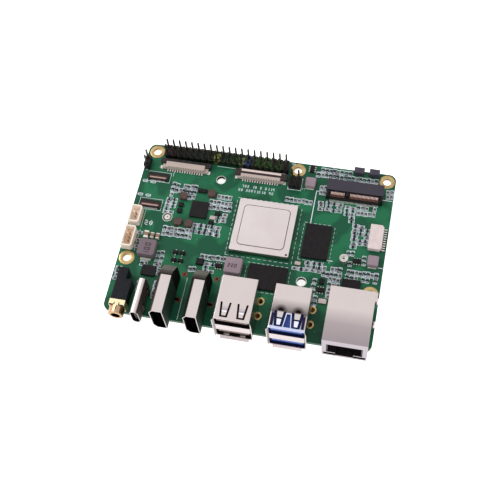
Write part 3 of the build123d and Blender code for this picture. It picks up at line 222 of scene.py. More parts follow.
def finish(name, base, second, patch, roughness, metallic=0.0, specular=0.3, relief=0.1, depth=0.01):
    """A finish of two close colours in soft patches, patch mm wide, with a fine grain depth mm deep."""
    material = bpy.data.materials.new(name)
    tree = empty_tree(material)
    place = add_node(tree, "ShaderNodeTexCoord").outputs["Object"]
    patches = add_node(tree, "ShaderNodeTexNoise", {
        "Vector": place, "Scale": 0.5 / (patch * MM), "Detail": 3.0})
    blend = add_node(tree, "ShaderNodeMapRange", {0: patches.outputs[0], 1: 0.35, 2: 0.65})
    tint = add_node(tree, "ShaderNodeMix", {0: blend.outputs[0], 6: colour(base), 7: colour(second)},
                    data_type="RGBA")
    grain = add_node(tree, "ShaderNodeTexNoise", {"Vector": place, "Scale": 6 / (patch * MM), "Detail": 2.0})
    bump = add_node(tree, "ShaderNodeBump", {
        "Height": grain.outputs[0], "Strength": relief, "Distance": depth * MM})
    shader = add_node(tree, "ShaderNodeBsdfPrincipled", {
        "Base Color": tint.outputs[2], "Roughness": roughness, "Metallic": metallic,
        "Specular IOR Level": specular, "Normal": bump.outputs[0]})
    add_node(tree, "ShaderNodeOutputMaterial", {"Surface": shader.outputs[0]})
    return material


def take(name):
    """The object that an operator has just made, named and left unselected, with its place in its mesh."""
    made = bpy.context.object
    made.name = name
    bpy.ops.object.transform_apply(location=True, rotation=True, scale=True)
    bpy.ops.object.select_all(action="DESELECT")
    return made


def pick(piece, kind, chosen):
    """Opens a piece for editing with only the chosen edges or faces picked."""
    bpy.context.view_layer.objects.active = piece
    bpy.ops.object.mode_set(mode="EDIT")
    bpy.ops.mesh.select_mode(type=kind)
    bpy.ops.mesh.select_all(action="DESELECT")
    bpy.ops.object.mode_set(mode="OBJECT")
    for part in piece.data.edges if kind == "EDGE" else piece.data.polygons:
        part.select = chosen(part)
    bpy.ops.object.mode_set(mode="EDIT")


# The ink lies this far over the mask
print_height = 0.02


def printed_bar(left, front, right, rear):
    """A printed stroke or block."""
    bpy.ops.mesh.primitive_plane_add(size=1, location=(
        (left + right) / 2 * MM, (front + rear) / 2 * MM, (board_top + print_height) * MM))
    bpy.context.object.scale = ((right - left) * MM, (rear - front) * MM, 1)
    return take("bar")


def printed_frame(left, front, right, rear, line):
    """A rectangle of printed line: a bar, inset by the line's width, with its middle taken out."""
    made = printed_bar(left, front, right, rear)
    pick(made, "FACE", lambda face: True)
    bpy.ops.mesh.inset(thickness=line * MM)
    bpy.ops.mesh.delete(type="FACE")
    bpy.ops.object.mode_set(mode="OBJECT")
    return made


def join(pieces, name):
    """One object from several, with a mesh of its own."""
    bpy.ops.object.select_all(action="DESELECT")
    for piece in pieces:
        piece.select_set(True)
    bpy.context.view_layer.objects.active = pieces[0]
    bpy.ops.object.join()
    joined = bpy.context.object
    joined.name = name
    bpy.ops.object.select_all(action="DESELECT")
    return joined


# The strokes of a plain numeral, as fractions of its width and height: left, front, right, rear
strokes = {
    "a": (0, 0.82, 1, 1), "b": (0.68, 0.5, 1, 1), "c": (0.68, 0, 1, 0.5), "d": (0, 0, 1, 0.18),
    "e": (0, 0, 0.32, 0.5), "f": (0, 0.5, 0.32, 1), "g": (0, 0.41, 1, 0.59)}
numerals = ("abcdef", "bc", "abged", "abgcd", "fgbc", "afgcd", "afgedc", "abc", "abcdefg", "abcdfg")


def printed_number(digits, left, front, height):
    """A row of plain numerals, height mm tall, from its front left corner."""
    width, step = 0.55 * height, 0.85 * height
    bars = []
    for place, digit in enumerate(digits):
        for stroke in numerals[int(digit)] if digit != " " else "":
            start_x, start_y, end_x, end_y = strokes[stroke]
            start = left + place * step
            bars.append(printed_bar(start + start_x * width, front + start_y * height,
                                    start + end_x * width, front + end_y * height))
    return bars


# Rectangles: left, front, right, rear, line
marks = [printed_frame(*edges) for edges in (
    (55.2, -9.3, 60.6, -3.6, 0.22), (-1.0, -14.0, 8.3, -9.3, 0.15), (-1.5, -27.0, 7.8, -21.9, 0.15))]
# Rules: left, front, right, rear
marks += [printed_bar(*edges) for edges in (
    (66.6, -23.0, 66.9, -8.2), (66.6, -8.4, 68.4, -8.1), (92.6, -8.6, 96.4, -8.3), (94.6, -38.0, 96.4, -37.7),
    (75.4, -38.0, 77.6, -37.7), (9.0, -10.6, 9.15, -6.6), (25.6, -3.2, 33.0, -3.0), (24.6, -2.2, 24.8, -1.0),
    (60.0, -20.6, 60.3, -19.4), (2.0, -35.4, 2.15, -27.2), (2.0, -45.8, 2.15, -36.2))]
# Numbers: digits, left, front, height
for number in (
        ("703 10 2 6114", 37.4, -11.1, 1.2), ("20 36071518 42", 36.2, -13.0, 1.2), ("40", 55.2, 2.1, 0.9),
        ("1", 2.6, -3.3, 0.9), ("20", 3.0, -33.9, 2.2), ("12", -3.0, -9.3, 0.8), ("21", 60.9, -8.6, 0.8)):
    marks += printed_number(*number)
# Seams of the tall sockets' outlines on the board: left, rear
seam_front, seam_width = -71.0, 0.16
marks += [printed_bar(left, seam_front, left + seam_width, rear)
          for left, rear in ((25.0, -53.6), (37.9, -52.6), (14.9, -58.4))]
# Ovals of the camera sockets' pad marks
for x, y in ((-1.5, -14.2), (1.7, -14.3), (-2.0, -20.6), (1.3, -20.7)):
    marks += [printed_bar(x - 0.8, y + side - 0.1, x + 0.8, y + side + 0.1) for side in (-0.5, 0.0, 0.5)]
    marks += [printed_bar(x + side - 0.12, y - 0.42, x + side + 0.12, y + 0.42) for side in (-0.95, 0.95)]
# Dashed squares: left, front, right, rear, dash, gap
half_line = 0.07
for left, front, right, rear, dash, gap in (
        (36.9, -41.6, 62.5, -16.0, 1.3, 0.8), (64.5, -39.0, 76.4, -22.8, 1.1, 0.7),
        (46.2, -55.0, 62.8, -43.3, 1.1, 0.7)):
    step = dash + gap
    for number in range(int((right - left) / step)):
        start = left + number * step
        marks += [printed_bar(start, y - half_line, start + dash, y + half_line) for y in (front, rear)]
    for number in range(int((rear - front) / step)):
        start = front + number * step
        marks += [printed_bar(x - half_line, start, x + half_line, start + dash) for x in (left, right)]
board_print = join(marks, "board_print")
ink = finish("white_legend_ink", "#f4f9ff", "#dee9f3", 0.8, 0.6, specular=0.2)
board_print.data.materials.append(ink)
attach(board_print, "computer")

# ---------------------------------------------------------------- plated holes
# Bare gold-plated copper lands round the mounting holes, with the plating going down
# through the hole.  The edge is rounded by the mask that overlaps it.
mounting_holes = ((0, 0), (58.0, 0), (93.3, 0), (0, -49.0), (93.3, -49.0))
heat_sink_holes = ((28.5, -9.2), (67.5, -48.2))
gold = finish("gold_plating", "#c9ae7c", "#ab8f60", 1.1, 0.3, metallic=0.85)
# In the holes the plating is lit by the table under the board
walled_gold = finish("lit_gold_plating", "#c9ae7c", "#ab8f60", 1.1, 0.3, metallic=0.85)
tree = walled_gold.node_tree
place = add_node(tree, "ShaderNodeTexCoord").outputs["Object"]
height = add_node(tree, "ShaderNodeSeparateXYZ", {0: place}).outputs["Z"]
rise = add_node(tree, "ShaderNodeMapRange", {0: height, 1: 0.0, 2: board_top * MM})
shade = add_node(tree, "ShaderNodeValToRGB", {0: rise.outputs[0]})
lit_stop, dark_stop = shade.color_ramp.elements
lit_stop.color = colour("#fff4e0")
dark_stop.color = colour("#5d4727")
dark_stop.position = 0.85
inside = add_node(tree, "ShaderNodeMath", {0: height, 1: (board_top - 0.01) * MM}, operation="LESS_THAN")
shader = tree.nodes["Principled BSDF"]
plate = shader.inputs["Base Color"].links[0].from_socket
both = add_node(tree, "ShaderNodeMix", {0: inside.outputs[0], 6: plate, 7: shade.outputs[0]},
                data_type="RGBA")
tree.links.new(both.outputs[2], shader.inputs["Base Color"])


def ring(name, x, y, outer, inner, low, high, sides):
    """A flat ring or a sleeve: a disc, inset on both faces, with the middle bridged through."""
    bpy.ops.mesh.primitive_cylinder_add(vertices=sides, radius=outer * MM, depth=(high - low) * MM, location=(
        x * MM, y * MM, (low + high) / 2 * MM))
    made = take(name)
    pick(made, "FACE", lambda face: abs(face.normal.z) > 0.5)
    bpy.ops.mesh.inset(thickness=(outer - inner) * math.cos(math.pi / sides) * MM)
    bpy.ops.mesh.bridge_edge_loops()
    bpy.ops.object.mode_set(mode="OBJECT")
    return made


def ease(piece, width, segments=2, angle=40):
    """Rounds the piece's edges that are sharper than angle, by width mm, and smooths the rest."""
    rounding = piece.modifiers.new("rounding", "BEVEL")
    rounding.width = width * MM
    rounding.segments = segments
    rounding.limit_method = "ANGLE"
    rounding.angle_limit = math.radians(angle)
    piece.select_set(True)
    bpy.context.view_layer.objects.active = piece
    bpy.ops.object.modifier_apply(modifier="rounding")
    bpy.ops.object.shade_smooth_by_angle(angle=math.radians(angle))
    # Keeps the large flat faces flat in their shading
    weights = piece.modifiers.new("weights", "WEIGHTED_NORMAL")
    weights.keep_sharp = True
    bpy.ops.object.modifier_apply(modifier="weights")
    bpy.ops.object.select_all(action="DESELECT")


bore, plating_radius, land_radius, thickness = 1.55, 1.6, 3.0, 0.04
lands = []
for x, y in mounting_holes:
    lands += [ring("land", x, y, land_radius, bore, low, low + thickness, 48)
              for low in (-thickness, board_top)]
    lands.append(ring("plating", x, y, plating_radius, bore, 0.0, board_top, 48))
mounting_lands = join(lands, "mounting_lands")
ease(mounting_lands, 0.015)
mounting_lands.data.materials.append(walled_gold)
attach(mounting_lands, "computer")
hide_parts("hole_plating")
# Bare edges: two holes of the heat sink, the lower card's nut and the upper card's standoff
nut, standoff = reach("m2_lower_nut")[2], reach("m2_standoff")[2]
hole_rims = join([
    ring("rim", *heat_sink_holes[0], 1.95, 1.7, board_top, board_top + 0.03, 40),
    ring("rim", *heat_sink_holes[1], 2.0, 1.7, board_top, board_top + 0.03, 40),
    ring("land", nut.x, nut.y, 2.0, 1.75, board_top, board_top + 0.04, 32),
    ring("nut", nut.x, nut.y, 1.1, 0.4, board_top - 0.05, board_top + 0.05, 24),
    ring("thread", standoff.x, standoff.y, 1.0, 0.35, board_top + 1.9, board_top + 2.1, 24)], "hole_rims")
# The walls of the heat sink's holes: brown drilled laminate, painted darker as painted shade inside the holes
hole_walls = join([ring("wall", *hole, 1.745, 1.7, 0.02, board_top, 40) for hole in heat_sink_holes],
                  "hole_walls")
hole_rims.data.materials.append(finish("bare_tinned_rim", "#d9ddd6", "#c3c9c0", 0.6, 0.4, metallic=0.5))
hole_walls.data.materials.append(finish("drilled_laminate_in_painted_shade", "#3a2617", "#2a1a0f", 0.5, 0.7, specular=0.1))
for piece in (hole_rims, hole_walls):
    ease(piece, 0.01, segments=1)
    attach(piece, "computer")

# ---------------------------------------------------------------- solder rings
# Hand-soldered tabs of the port shells: a raised gold ring on the mask, and solder sunk
# into the hole, painted in near black blots with orange-brown ones: painted shade in the
# cup with painted glints.
solder = bpy.data.materials.new("solder_with_painted_cup_shade")
tree = empty_tree(solder)
place = add_node(tree, "ShaderNodeTexCoord").outputs["Object"]
spot = add_node(tree, "ShaderNodeSeparateXYZ", {0: place}).outputs
rim = add_node(tree, "ShaderNodeMapRange", {
    0: spot["Z"], 1: (board_top + 0.045) * MM, 2: (board_top + 0.06) * MM})
# The cup's floor: near black painted shade in blots, with orange-brown painted glints
blots = add_node(tree, "ShaderNodeTexNoise", {"Vector": place, "Scale": 1100.0, "Detail": 1.0})
blots = add_node(tree, "ShaderNodeMapRange", {0: blots.outputs[0], 1: 0.42, 2: 0.66})
cup_shade_and_glints = add_node(tree, "ShaderNodeMix", {0: blots.outputs[0], 6: colour("#1c0804"), 7: colour("#b0661f")},
                data_type="RGBA")
# The tabs of the tall sockets, left of this, stay brown all over
tall_sockets_end = 38
small = add_node(tree, "ShaderNodeMath", {0: spot["X"], 1: tall_sockets_end * MM}, operation="LESS_THAN")
plain = add_node(tree, "ShaderNodeMix", {0: small.outputs[0], 6: colour("#dcbd80"), 7: colour("#573a2e")},
                 data_type="RGBA")
tint = add_node(tree, "ShaderNodeMix", {0: rim.outputs[0], 6: cup_shade_and_glints.outputs[2], 7: plain.outputs[2]},
                data_type="RGBA")
shader = add_node(tree, "ShaderNodeBsdfPrincipled", {
    "Base Color": tint.outputs[2], "Roughness": 0.35, "Metallic": 0.4})
add_node(tree, "ShaderNodeOutputMaterial", {"Surface": shader.outputs[0]})


def soldered_tab(x, y, outer, inner):
    """One ring with a cup of solder sunk in it; the rim laps the hole's edge."""
    bpy.ops.mesh.primitive_cylinder_add(vertices=28, radius=outer * MM, depth=0.06 * MM, location=(
        x * MM, y * MM, (board_top + 0.03) * MM))
    cup = take("cup")
    pick(cup, "FACE", lambda face: face.normal.z < -0.5)
    bpy.ops.mesh.delete(type="FACE")
    bpy.ops.object.mode_set(mode="OBJECT")
    pick(cup, "FACE", lambda face: face.normal.z > 0.5)
    # The rim's slope, its flat top, the lip, the cup's wall and its sunken floor: inset, rise
    for inset, rise in ((0.05, 0.02), (outer - inner - 0.25, 0.0), (0.2, -0.06), (0.06, -0.3),
                        (0.5 * (inner - 0.06), -0.35)):
        bpy.ops.mesh.inset(thickness=inset * MM, depth=rise * MM)
    bpy.ops.object.mode_set(mode="OBJECT")
    return cup


cups = []
# Shell, half the distance between its tabs, their rows, the ring's outer radius and the tab's
for shell, half, rows, outer, inner in (
        ("usb2_shell", 6.4, (-58.6, -64.5), 1.65, 0.93), ("usb3_shell", 6.4, (-58.8, -64.7), 1.65, 0.93),
        ("hdmi_1_shell", 3.77, (-63.0, -52.4), 1.15, 0.5), ("hdmi_2_shell", 3.77, (-63.0, -52.4), 1.15, 0.5)):
    center = reach(shell)[2].x
    cups += [soldered_tab(center + side * half, y, outer, inner) for side in (-1, 1) for y in rows]
solder_cups = join(cups, "solder_cups")
ease(solder_cups, 0.03, segments=1)
solder_cups.data.materials.append(solder)
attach(solder_cups, "computer")
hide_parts("solder_rings")

# ---------------------------------------------------------------- processor
# A fibreglass carrier under a pressed lid of nickel-plated copper.  The lid's middle is
# raised, with a dark line of painted shade round its foot, and a dot marks the first ball.
dress(finish("carrier_laminate", "#27402f", "#31503b", 1.5, 0.5), "processor_substrate")
low_corner, high_corner, middle = reach("processor_lid")
lid_width = high_corner.x - low_corner.x
lid_depth = high_corner.y - low_corner.y
flange_top = high_corner.z - 0.3
step_width, step_depth, step_top = 17.8, 17.3, flange_top + 0.12


def block(name, x, y, width, depth, low, high, corner=0.0, segments=6):
    """A block standing on the board, with its four upright edges rounded to corner mm."""
    bpy.ops.mesh.primitive_cube_add(size=1, location=(x * MM, y * MM, (low + high) / 2 * MM))
    bpy.context.object.scale = (width * MM, depth * MM, (high - low) * MM)
    made = take(name)
    if corner:
        ends = [vertex.co.z for vertex in made.data.vertices]
        pick(made, "EDGE", lambda edge: ends[edge.vertices[0]] != ends[edge.vertices[1]])
        bpy.ops.mesh.bevel(offset=corner * MM, segments=segments)
        bpy.ops.object.mode_set(mode="OBJECT")
    return made


lid = join([
    block("flange", middle.x, middle.y, lid_width, lid_depth, low_corner.z, flange_top, 0.6),
    block("step", middle.x, middle.y, step_width, step_depth, flange_top - 0.05, step_top, 1.5)],
    "processor_cover")
ease(lid, 0.06)
nickel = finish("satin_nickel_plating", "#ded4d3", "#d8cdcc", 5.0, 0.3, metallic=1.0, relief=0.04)
lid.data.materials.append(nickel)
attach(lid, "computer")
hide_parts("processor_lid")
# A dark sheet round the step is painted shade at its foot; the dot and the nut's collar share its finish
step_shade_sheet = block("dark_pieces", middle.x, middle.y, step_width + 0.55, step_depth + 0.55,
                     flange_top, flange_top + 0.012, 1.75)
bpy.ops.mesh.primitive_cylinder_add(vertices=24, radius=0.48 * MM, depth=0.02 * MM, location=(
    (middle.x + 0.46 * lid_width) * MM, (middle.y - 0.46 * lid_depth) * MM, flange_top * MM))
dot = take("dot")
collar = ring("collar", nut.x, nut.y, 1.7, 1.15, board_top, board_top + 0.03, 32)
dark_pieces = join([step_shade_sheet, dot, collar], "cover_shade_and_marks")
ease(dark_pieces, 0.004, segments=1)
dark_pieces.data.materials.append(finish("dark_nickel_and_painted_shade", "#665a58", "#574b4a", 1.0, 0.5, metallic=0.6))
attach(dark_pieces, "computer")

# ---------------------------------------------------------------- packages
# Moulded epoxy with a fine matt skin, nearly black, on tinned copper leads.
epoxy = finish("moulded_epoxy", "#1b181b", "#231f22", 0.8, 0.5, specular=0.12, relief=0.25, depth=0.02)
dress(epoxy, "memory_chips", "power_chip", "interface_chips", "small_chips")
tin = finish("bright_tin", "#d9d3cf", "#beb6b2", 0.5, 0.3, metallic=0.9)
dress(finish("shaded_tin", "#b8946f", "#9a7757", 0.8, 0.4, metallic=0.3), "wire_socket_pins")
dress(tin, "small_chip_leads", "touch_socket_contacts", "m2_standoff", "m2_lower_nut")
dress(finish("crystal_can", "#c4b3b0", "#b3a29f", 0.8, 0.35, metallic=0.8), "crystals")

# ---------------------------------------------------------------- inductors and large capacitors
# Pressed iron powder, grey-mauve and slightly rough, round a wire coil.  The large
# capacitors beside the left one are fired ceramic between two tinned ends.


class LayeredFinish:
    """A finish whose tint is built up in layers, each where its masks meet; places are in mm."""

    def __init__(self, name, base, second="#d5cac8"):
        self.material = bpy.data.materials.new(name)
        self.tree = empty_tree(self.material)
        place = add_node(self.tree, "ShaderNodeTexCoord").outputs["Object"]
        normal = add_node(self.tree, "ShaderNodeNewGeometry").outputs["Normal"]
        share = self.node("ShaderNodeVectorMath", {0: normal}, operation="ABSOLUTE")
        self.axes, self.leaning, self.faces = [
            dict(zip("xyz", add_node(self.tree, "ShaderNodeSeparateXYZ", {0: vector}).outputs))
            for vector in (place, normal, share)]
        patches = self.node("ShaderNodeTexNoise", {"Vector": place, "Scale": 120.0, "Detail": 2.0})
        self.tint = add_node(self.tree, "ShaderNodeMix", {0: patches, 6: colour(base), 7: colour(second)},
                             data_type="RGBA").outputs[2]

    def node(self, kind, inputs, **settings):
        """The first output of one more node in this finish's tree."""
        return add_node(self.tree, kind, inputs, **settings).outputs[0]

    def ramp(self, axis, start, end):
        """0 where the place along an axis is start mm, 1 where it is end mm."""
        return self.node("ShaderNodeMapRange", {0: self.axes[axis], 1: start * MM, 2: end * MM})

    def face(self, axis, start=0.4, end=0.6):
        """1 on the faces that look along an axis; the normal's share goes from start to end."""
        return self.node("ShaderNodeMapRange", {0: self.faces[axis], 1: start, 2: end})

    def aside(self, center):
        """How far it is to a place along X, in metres."""
        away = self.node("ShaderNodeMath", {0: self.axes["x"], 1: center * MM}, operation="SUBTRACT")
        return self.node("ShaderNodeMath", {0: away}, operation="ABSOLUTE")

    def beside(self, center, half, soft=0.1):
        """1 within half mm of a place along X, on both sides."""
        return self.node("ShaderNodeMapRange", {0: self.aside(center), 1: half * MM, 2: (half - soft) * MM})

    def inward(self, axis, center):
        """1 on the faces that look along an axis at a socket's middle: the inner sides of its mouth."""
        away = self.node("ShaderNodeMath", {0: self.axes[axis], 1: center * MM}, operation="SUBTRACT")
        away = self.node("ShaderNodeMath", {0: away, 1: self.leaning[axis]}, operation="MULTIPLY")
        return self.node("ShaderNodeMath", {0: away, 1: -0.0005}, operation="LESS_THAN")

    def leftward(self):
        """1 on the faces and rounded edges that look left."""
        return self.node("ShaderNodeMapRange", {0: self.leaning["x"], 1: -0.1, 2: -0.3})

    def slit(self, center, tip, root, close, far, half):
        """1 within half mm of a finger's sides, which part from close to far mm between tip and root."""
        line = self.node("ShaderNodeMapRange", {
            0: self.axes["y"], 1: tip * MM, 2: root * MM, 3: close * MM, 4: far * MM})
        away = self.node("ShaderNodeMath", {0: self.aside(center), 1: line}, operation="SUBTRACT")
        away = self.node("ShaderNodeMath", {0: away}, operation="ABSOLUTE")
        return self.node("ShaderNodeMapRange", {0: away, 1: half * MM, 2: (half - 0.1) * MM})

    def near(self, x, y, far, close):
        """0 at far mm from a place and beyond, 1 within close mm of it."""
        flat = self.node("ShaderNodeCombineXYZ", {0: self.axes["x"], 1: self.axes["y"]})
        away = add_node(self.tree, "ShaderNodeVectorMath", {0: flat, 1: (x * MM, y * MM, 0)},
                        operation="DISTANCE").outputs["Value"]
        return self.node("ShaderNodeMapRange", {0: away, 1: far * MM, 2: close * MM})

    def layer(self, code, *masks):
        """Lays one more tint where all the masks meet; a plain number thins it."""
        meet = masks[0]
        for mask in masks[1:]:
            meet = self.node("ShaderNodeMath", {0: meet, 1: mask}, operation="MULTIPLY")
        self.tint = add_node(self.tree, "ShaderNodeMix", {0: meet, 6: self.tint, 7: colour(code)},
                             data_type="RGBA").outputs[2]

    def finish(self, roughness, *names, metallic=1.0, specular=0.5, dull=None):
        """Closes the tree and dresses the named solids; the dull mask is where the finish is rough."""
        if dull:
            roughness = self.node("ShaderNodeMapRange", {0: dull, 3: roughness, 4: 0.7})
        shader = add_node(self.tree, "ShaderNodeBsdfPrincipled", {
            "Base Color": self.tint, "Roughness": roughness, "Metallic": metallic,
            "Specular IOR Level": specular})
        add_node(self.tree, "ShaderNodeOutputMaterial", {"Surface": shader.outputs[0]})
        dress(self.material, *names)


# The inductor at the left edge is darker than the others
iron = LayeredFinish("pressed_iron_powder", "#a18f98", "#93828b")
iron.layer("#796b73", iron.ramp("x", 15.0, 14.0))
iron.finish(0.6, "power_inductors", metallic=0.0, specular=0.15)
dress(finish("dark_iron_powder", "#4a3a37", "#5b4742", 0.6, 0.55, specular=0.2, relief=0.3), "chip_inductors")
# Where the capacitors' tinned ends start
ceramic = LayeredFinish("fired_ceramic_with_tinned_ends", "#9a7f6c", "#806958")
for start, end in ((-39.25, -39.3), (-37.75, -37.7)):
    ceramic.layer("#f1ebe6", ceramic.ramp("y", start, end))
ceramic.finish(0.45, "large_capacitors", metallic=0.0, specular=0.3)
# Values printed on the two large ones: plain numbers, the first one turned
value = join(printed_number("100", -2.6, -1.2, 2.2), "value")
value.data.transform(Matrix.Translation((7.5 * MM, -45.3 * MM, 0)) @ Matrix.Rotation(math.pi / 2, 4, "Z"))
inductor_marks = join([value] + printed_number("220", 39.5, -47.9, 1.5), "inductor_marks")
inductor_marks.data.transform(Matrix.Translation((0, 0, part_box("power_inductors")[1].z - board_top * MM)))
inductor_marks.data.materials.append(finish("grey_marking_ink", "#423239", "#52434a", 0.8, 0.6))
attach(inductor_marks, "computer")
# Tinned lands that stick out in front of three inductors: left, front, right, rear
inductor_lands = join([printed_bar(*edges) for edges in (
    (5.2, -48.9, 9.4, -48.0), (90.9, -38.5, 94.1, -37.95), (62.3, -8.1, 65.5, -7.55))], "inductor_lands")
inductor_lands.data.materials.append(finish("tinned_land", "#e6e2d8", "#c9c4ba", 0.8, 0.4, metallic=0.3))
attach(inductor_lands, "computer")

# ---------------------------------------------------------------- chip parts
# Ceramic capacitors and film resistors: a fired body between two tinned ends, soldered
# to two lands inside a printed frame.  One of each kind is made, then copied in banks
# wherever the board under the bank is bare.
capacitor_body = finish("barium_titanate", "#6f5f5b", "#4a3f3d", 2.0, 0.5)
resistor_body = finish("resistor_glaze", "#121011", "#1c191a", 2.0, 0.35)
end_tin = finish("wetted_tin", "#d2d3e3", "#a7a8bc", 0.5, 0.4, metallic=0.3)
pad_tin = finish("levelled_solder", "#efece9", "#d8d4d1", 0.5, 0.4, metallic=0.3)


def chip_part(name, body, length, width):
    """One chip part lying along X at the origin: body, ends, lands and printed outline."""
    core = block("core", 0, 0, 0.66 * length, width - 0.04, board_top + 0.03, board_top + 0.42)
    ease(core, 0.05, segments=1)
    core.data.materials.append(body)
    low, high = board_top + 0.02, board_top + 0.45
    ends = join([block("end", side * 0.42 * length, 0, 0.16 * length, width, low, high)
                 for side in (-1, 1)], "ends")
    ease(ends, 0.05, segments=1)
    land, half_width = 0.54 * length, 0.5 * width
    lands = join([printed_bar(side * land - 0.12, -half_width, side * land + 0.12, half_width)
                  for side in (-1, 1)], "lands")
    ends.data.materials.append(end_tin)
    lands.data.materials.append(end_tin)
    right, rear = land + 0.38, half_width + 0.32
    if name == "capacitor":
        outline = printed_frame(-right, -rear, right, rear, 0.17)
    else:
        # A bracket at each end
        bars = [printed_bar(x - 0.11, -rear, x + 0.11, rear) for x in (-right, right)]
        bars += [printed_bar(start, y - 0.1, end, y + 0.1)
                 for start, end in ((-right, -0.35), (0.35, right)) for y in (-rear, rear)]
        outline = join(bars, "outline")
    outline.data.materials.append(ink)
    return join([core, ends, lands, outline], name)


def copied(piece, move):
    """A copy of a piece, with a mesh of its own that a matrix has moved."""
    made = piece.copy()
    made.data = piece.data.copy()
    made.data.transform(move)
    bpy.context.scene.collection.objects.link(made)
    return made


kinds = {
    "C": chip_part("capacitor", capacitor_body, 1.25, 0.72),
    "R": chip_part("resistor", resistor_body, 1.25, 0.72),
    "B": chip_part("large_chip", resistor_body, 1.5, 0.9)}
corners, faces = [], []
for name, node in nodes.items():
    if name not in ("chip_capacitors", "chip_resistors"):
        first = len(corners)
        corners += [vertex.co for vertex in node.data.vertices]
        faces += [[first + index for index in face.vertices] for face in node.data.polygons]
surface = BVHTree.FromPolygons(corners, faces)


def bare(x, y, reach_x, reach_y):
    """True where the board's top is bare all over a part's outline, tried by rays from 50 mm up."""
    for step_x in (-1, 0, 1):
        for step_y in (-1, 0, 1):
            start = Vector(((x + step_x * reach_x) * MM, (y + step_y * reach_y) * MM, 50 * MM))
            hit = surface.ray_cast(start, Vector((0, 0, -1)))[0]
            if hit is None or abs(hit.z / MM - board_top) > 0.01:
                return False
    return True


# Banks: left, front, right, rear, turned or not, the kinds to draw from
banks = (
    (9.4, -20.2, 20.4, -13.0, True, "CRB"), (9.0, -27.4, 13.2, -20.4, False, "CR"),
    (26.2, -23.4, 35.0, -18.4, True, "CBR"), (28.4, -18.4, 34.6, -15.2, True, "RC"),
    (29.8, -28.6, 34.6, -23.8, False, "CR"), (22.2, -34.6, 32.6, -30.2, False, "CRB"),
    (10.8, -37.2, 22.2, -33.2, True, "CR"), (55.8, -15.0, 65.6, -12.6, True, "RC"),
    (56.0, -19.0, 60.0, -16.4, False, "C"), (65.4, -2.2, 79.4, 3.2, True, "CRB"),
    (79.4, -3.6, 91.0, 0.4, True, "RCR"), (68.0, -12.0, 70.4, -5.4, True, "C"),
    (68.4, -16.6, 70.4, -12.6, False, "C"), (71.6, -16.8, 77.4, -12.2, False, "CR"),
    (78.2, -20.6, 83.4, -13.0, False, "RC"), (83.6, -16.4, 90.4, -12.6, True, "CR"),
    (83.2, -31.6, 89.6, -20.4, False, "CRB"), (82.2, -39.4, 85.0, -32.2, True, "R"),
    (88.2, -38.6, 90.2, -33.0, True, "R"), (63.6, -43.5, 73.8, -39.4, False, "CRB"),
    (74.4, -44.5, 95.2, -40.4, True, "CRB"), (76.8, -48.4, 82.0, -44.6, True, "RC"),
    (90.0, -47.4, 95.2, -44.6, True, "RC"), (77.2, -53.4, 79.0, -48.6, False, "C"),
    (71.6, -57.4, 74.4, -46.0, True, "RC"), (28.2, -45.4, 38.0, -42.2, True, "CR"),
    (30.2, -50.6, 34.0, -45.6, False, "CR"), (1.4, -44.8, 3.6, -36.6, False, "C"),
    (10.8, -50.6, 14.2, -44.2, True, "CR"), (5.4, -51.4, 13.0, -49.2, True, "RC"),
    (-3.2, -58.6, -0.6, -51.8, False, "CR"), (6.3, -62.6, 9.0, -53.0, False, "RC"),
    (92.4, -8.0, 96.4, -3.4, True, "C"),
    (12.6, -54.6, 14.6, -51.0, False, "C"), (37.6, -52.6, 40.8, -50.8, True, "C"),
    (13.0, -64.0, 15.4, -57.0, False, "CR"), (24.8, -50.8, 27.2, -48.6, True, "R"))
parts = []
chance = random.Random(12)
for left, front, right, rear, turned, choices in banks:
    pitch_x, pitch_y = (1.5, 2.25) if turned else (2.25, 1.5)
    reach_x, reach_y = (0.6, 0.95) if turned else (0.95, 0.6)
    turn = Matrix.Rotation(math.radians(90 if turned else 0), 4, "Z")
    columns, rows = max(1, round((right - left) / pitch_x)), max(1, round((rear - front) / pitch_y))
    for column in range(columns):
        for row in range(rows):
            x = (left + right) / 2 + (column - (columns - 1) / 2) * pitch_x + chance.uniform(-0.2, 0.2)
            y = (front + rear) / 2 + (row - (rows - 1) / 2) * pitch_y + chance.uniform(-0.2, 0.2)
            if chance.random() < 0.92 and bare(x, y, reach_x, reach_y):
                move = Matrix.Translation((x * MM, y * MM, 0)) @ turn
                parts.append(copied(kinds[chance.choice(choices)], move))
# Decoupling capacitors under the processor
under = Matrix.Translation((0, 0, board_top * MM)) @ Matrix.Rotation(math.pi, 4, "X")
parts += [copied(kinds["C"], Matrix.Translation((x * MM, y * MM, 0)) @ under)
          for x in (47.2, 52.2) for y in (-31.3, -26.3)]
for kind in kinds.values():
    bpy.data.objects.remove(kind)
chip_banks = join(parts, "chip_banks")
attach(chip_banks, "computer")
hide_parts("chip_capacitors", "chip_resistors")

# ---------------------------------------------------------------- pin headers
# Square bronze posts, dull-plated and swaged to a point, pressed through a moulded strip
# of notched cells.  The long strip's cells differ in colour: nearly black at the left,
# green at the right, with a yellow-green one and a blue one between.  The pale green cell
# left of the blue one is a painted highlight, and the cells' sides are painted darker than
# their tops as painted shade.
post_metal = finish("dull_plated_bronze", "#5b544d", "#47423d", 0.8, 0.35, metallic=0.8)
pitch = 2.54
columns = [4.87 + pitch * number for number in range(20)]
rows = (-pitch / 2, pitch / 2)


def post(x, y, low, high):
    """One pin, pointed at both ends."""
    pin = block("post", x, y, 0.64, 0.64, low, high)
    pick(pin, "FACE", lambda face: abs(face.normal.z) > 0.5)
    bpy.ops.mesh.inset(thickness=0.17 * MM)
    bpy.ops.object.mode_set(mode="OBJECT")
    for vertex in pin.data.vertices:
        if max(abs(vertex.co.x - x * MM), abs(vertex.co.y - y * MM)) > 0.3 * MM:
            vertex.co.z += 0.45 * MM if vertex.co.z < 0 else -0.45 * MM
    return pin


pin_low, pin_high = [corner.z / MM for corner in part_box("gpio_header_pins")]
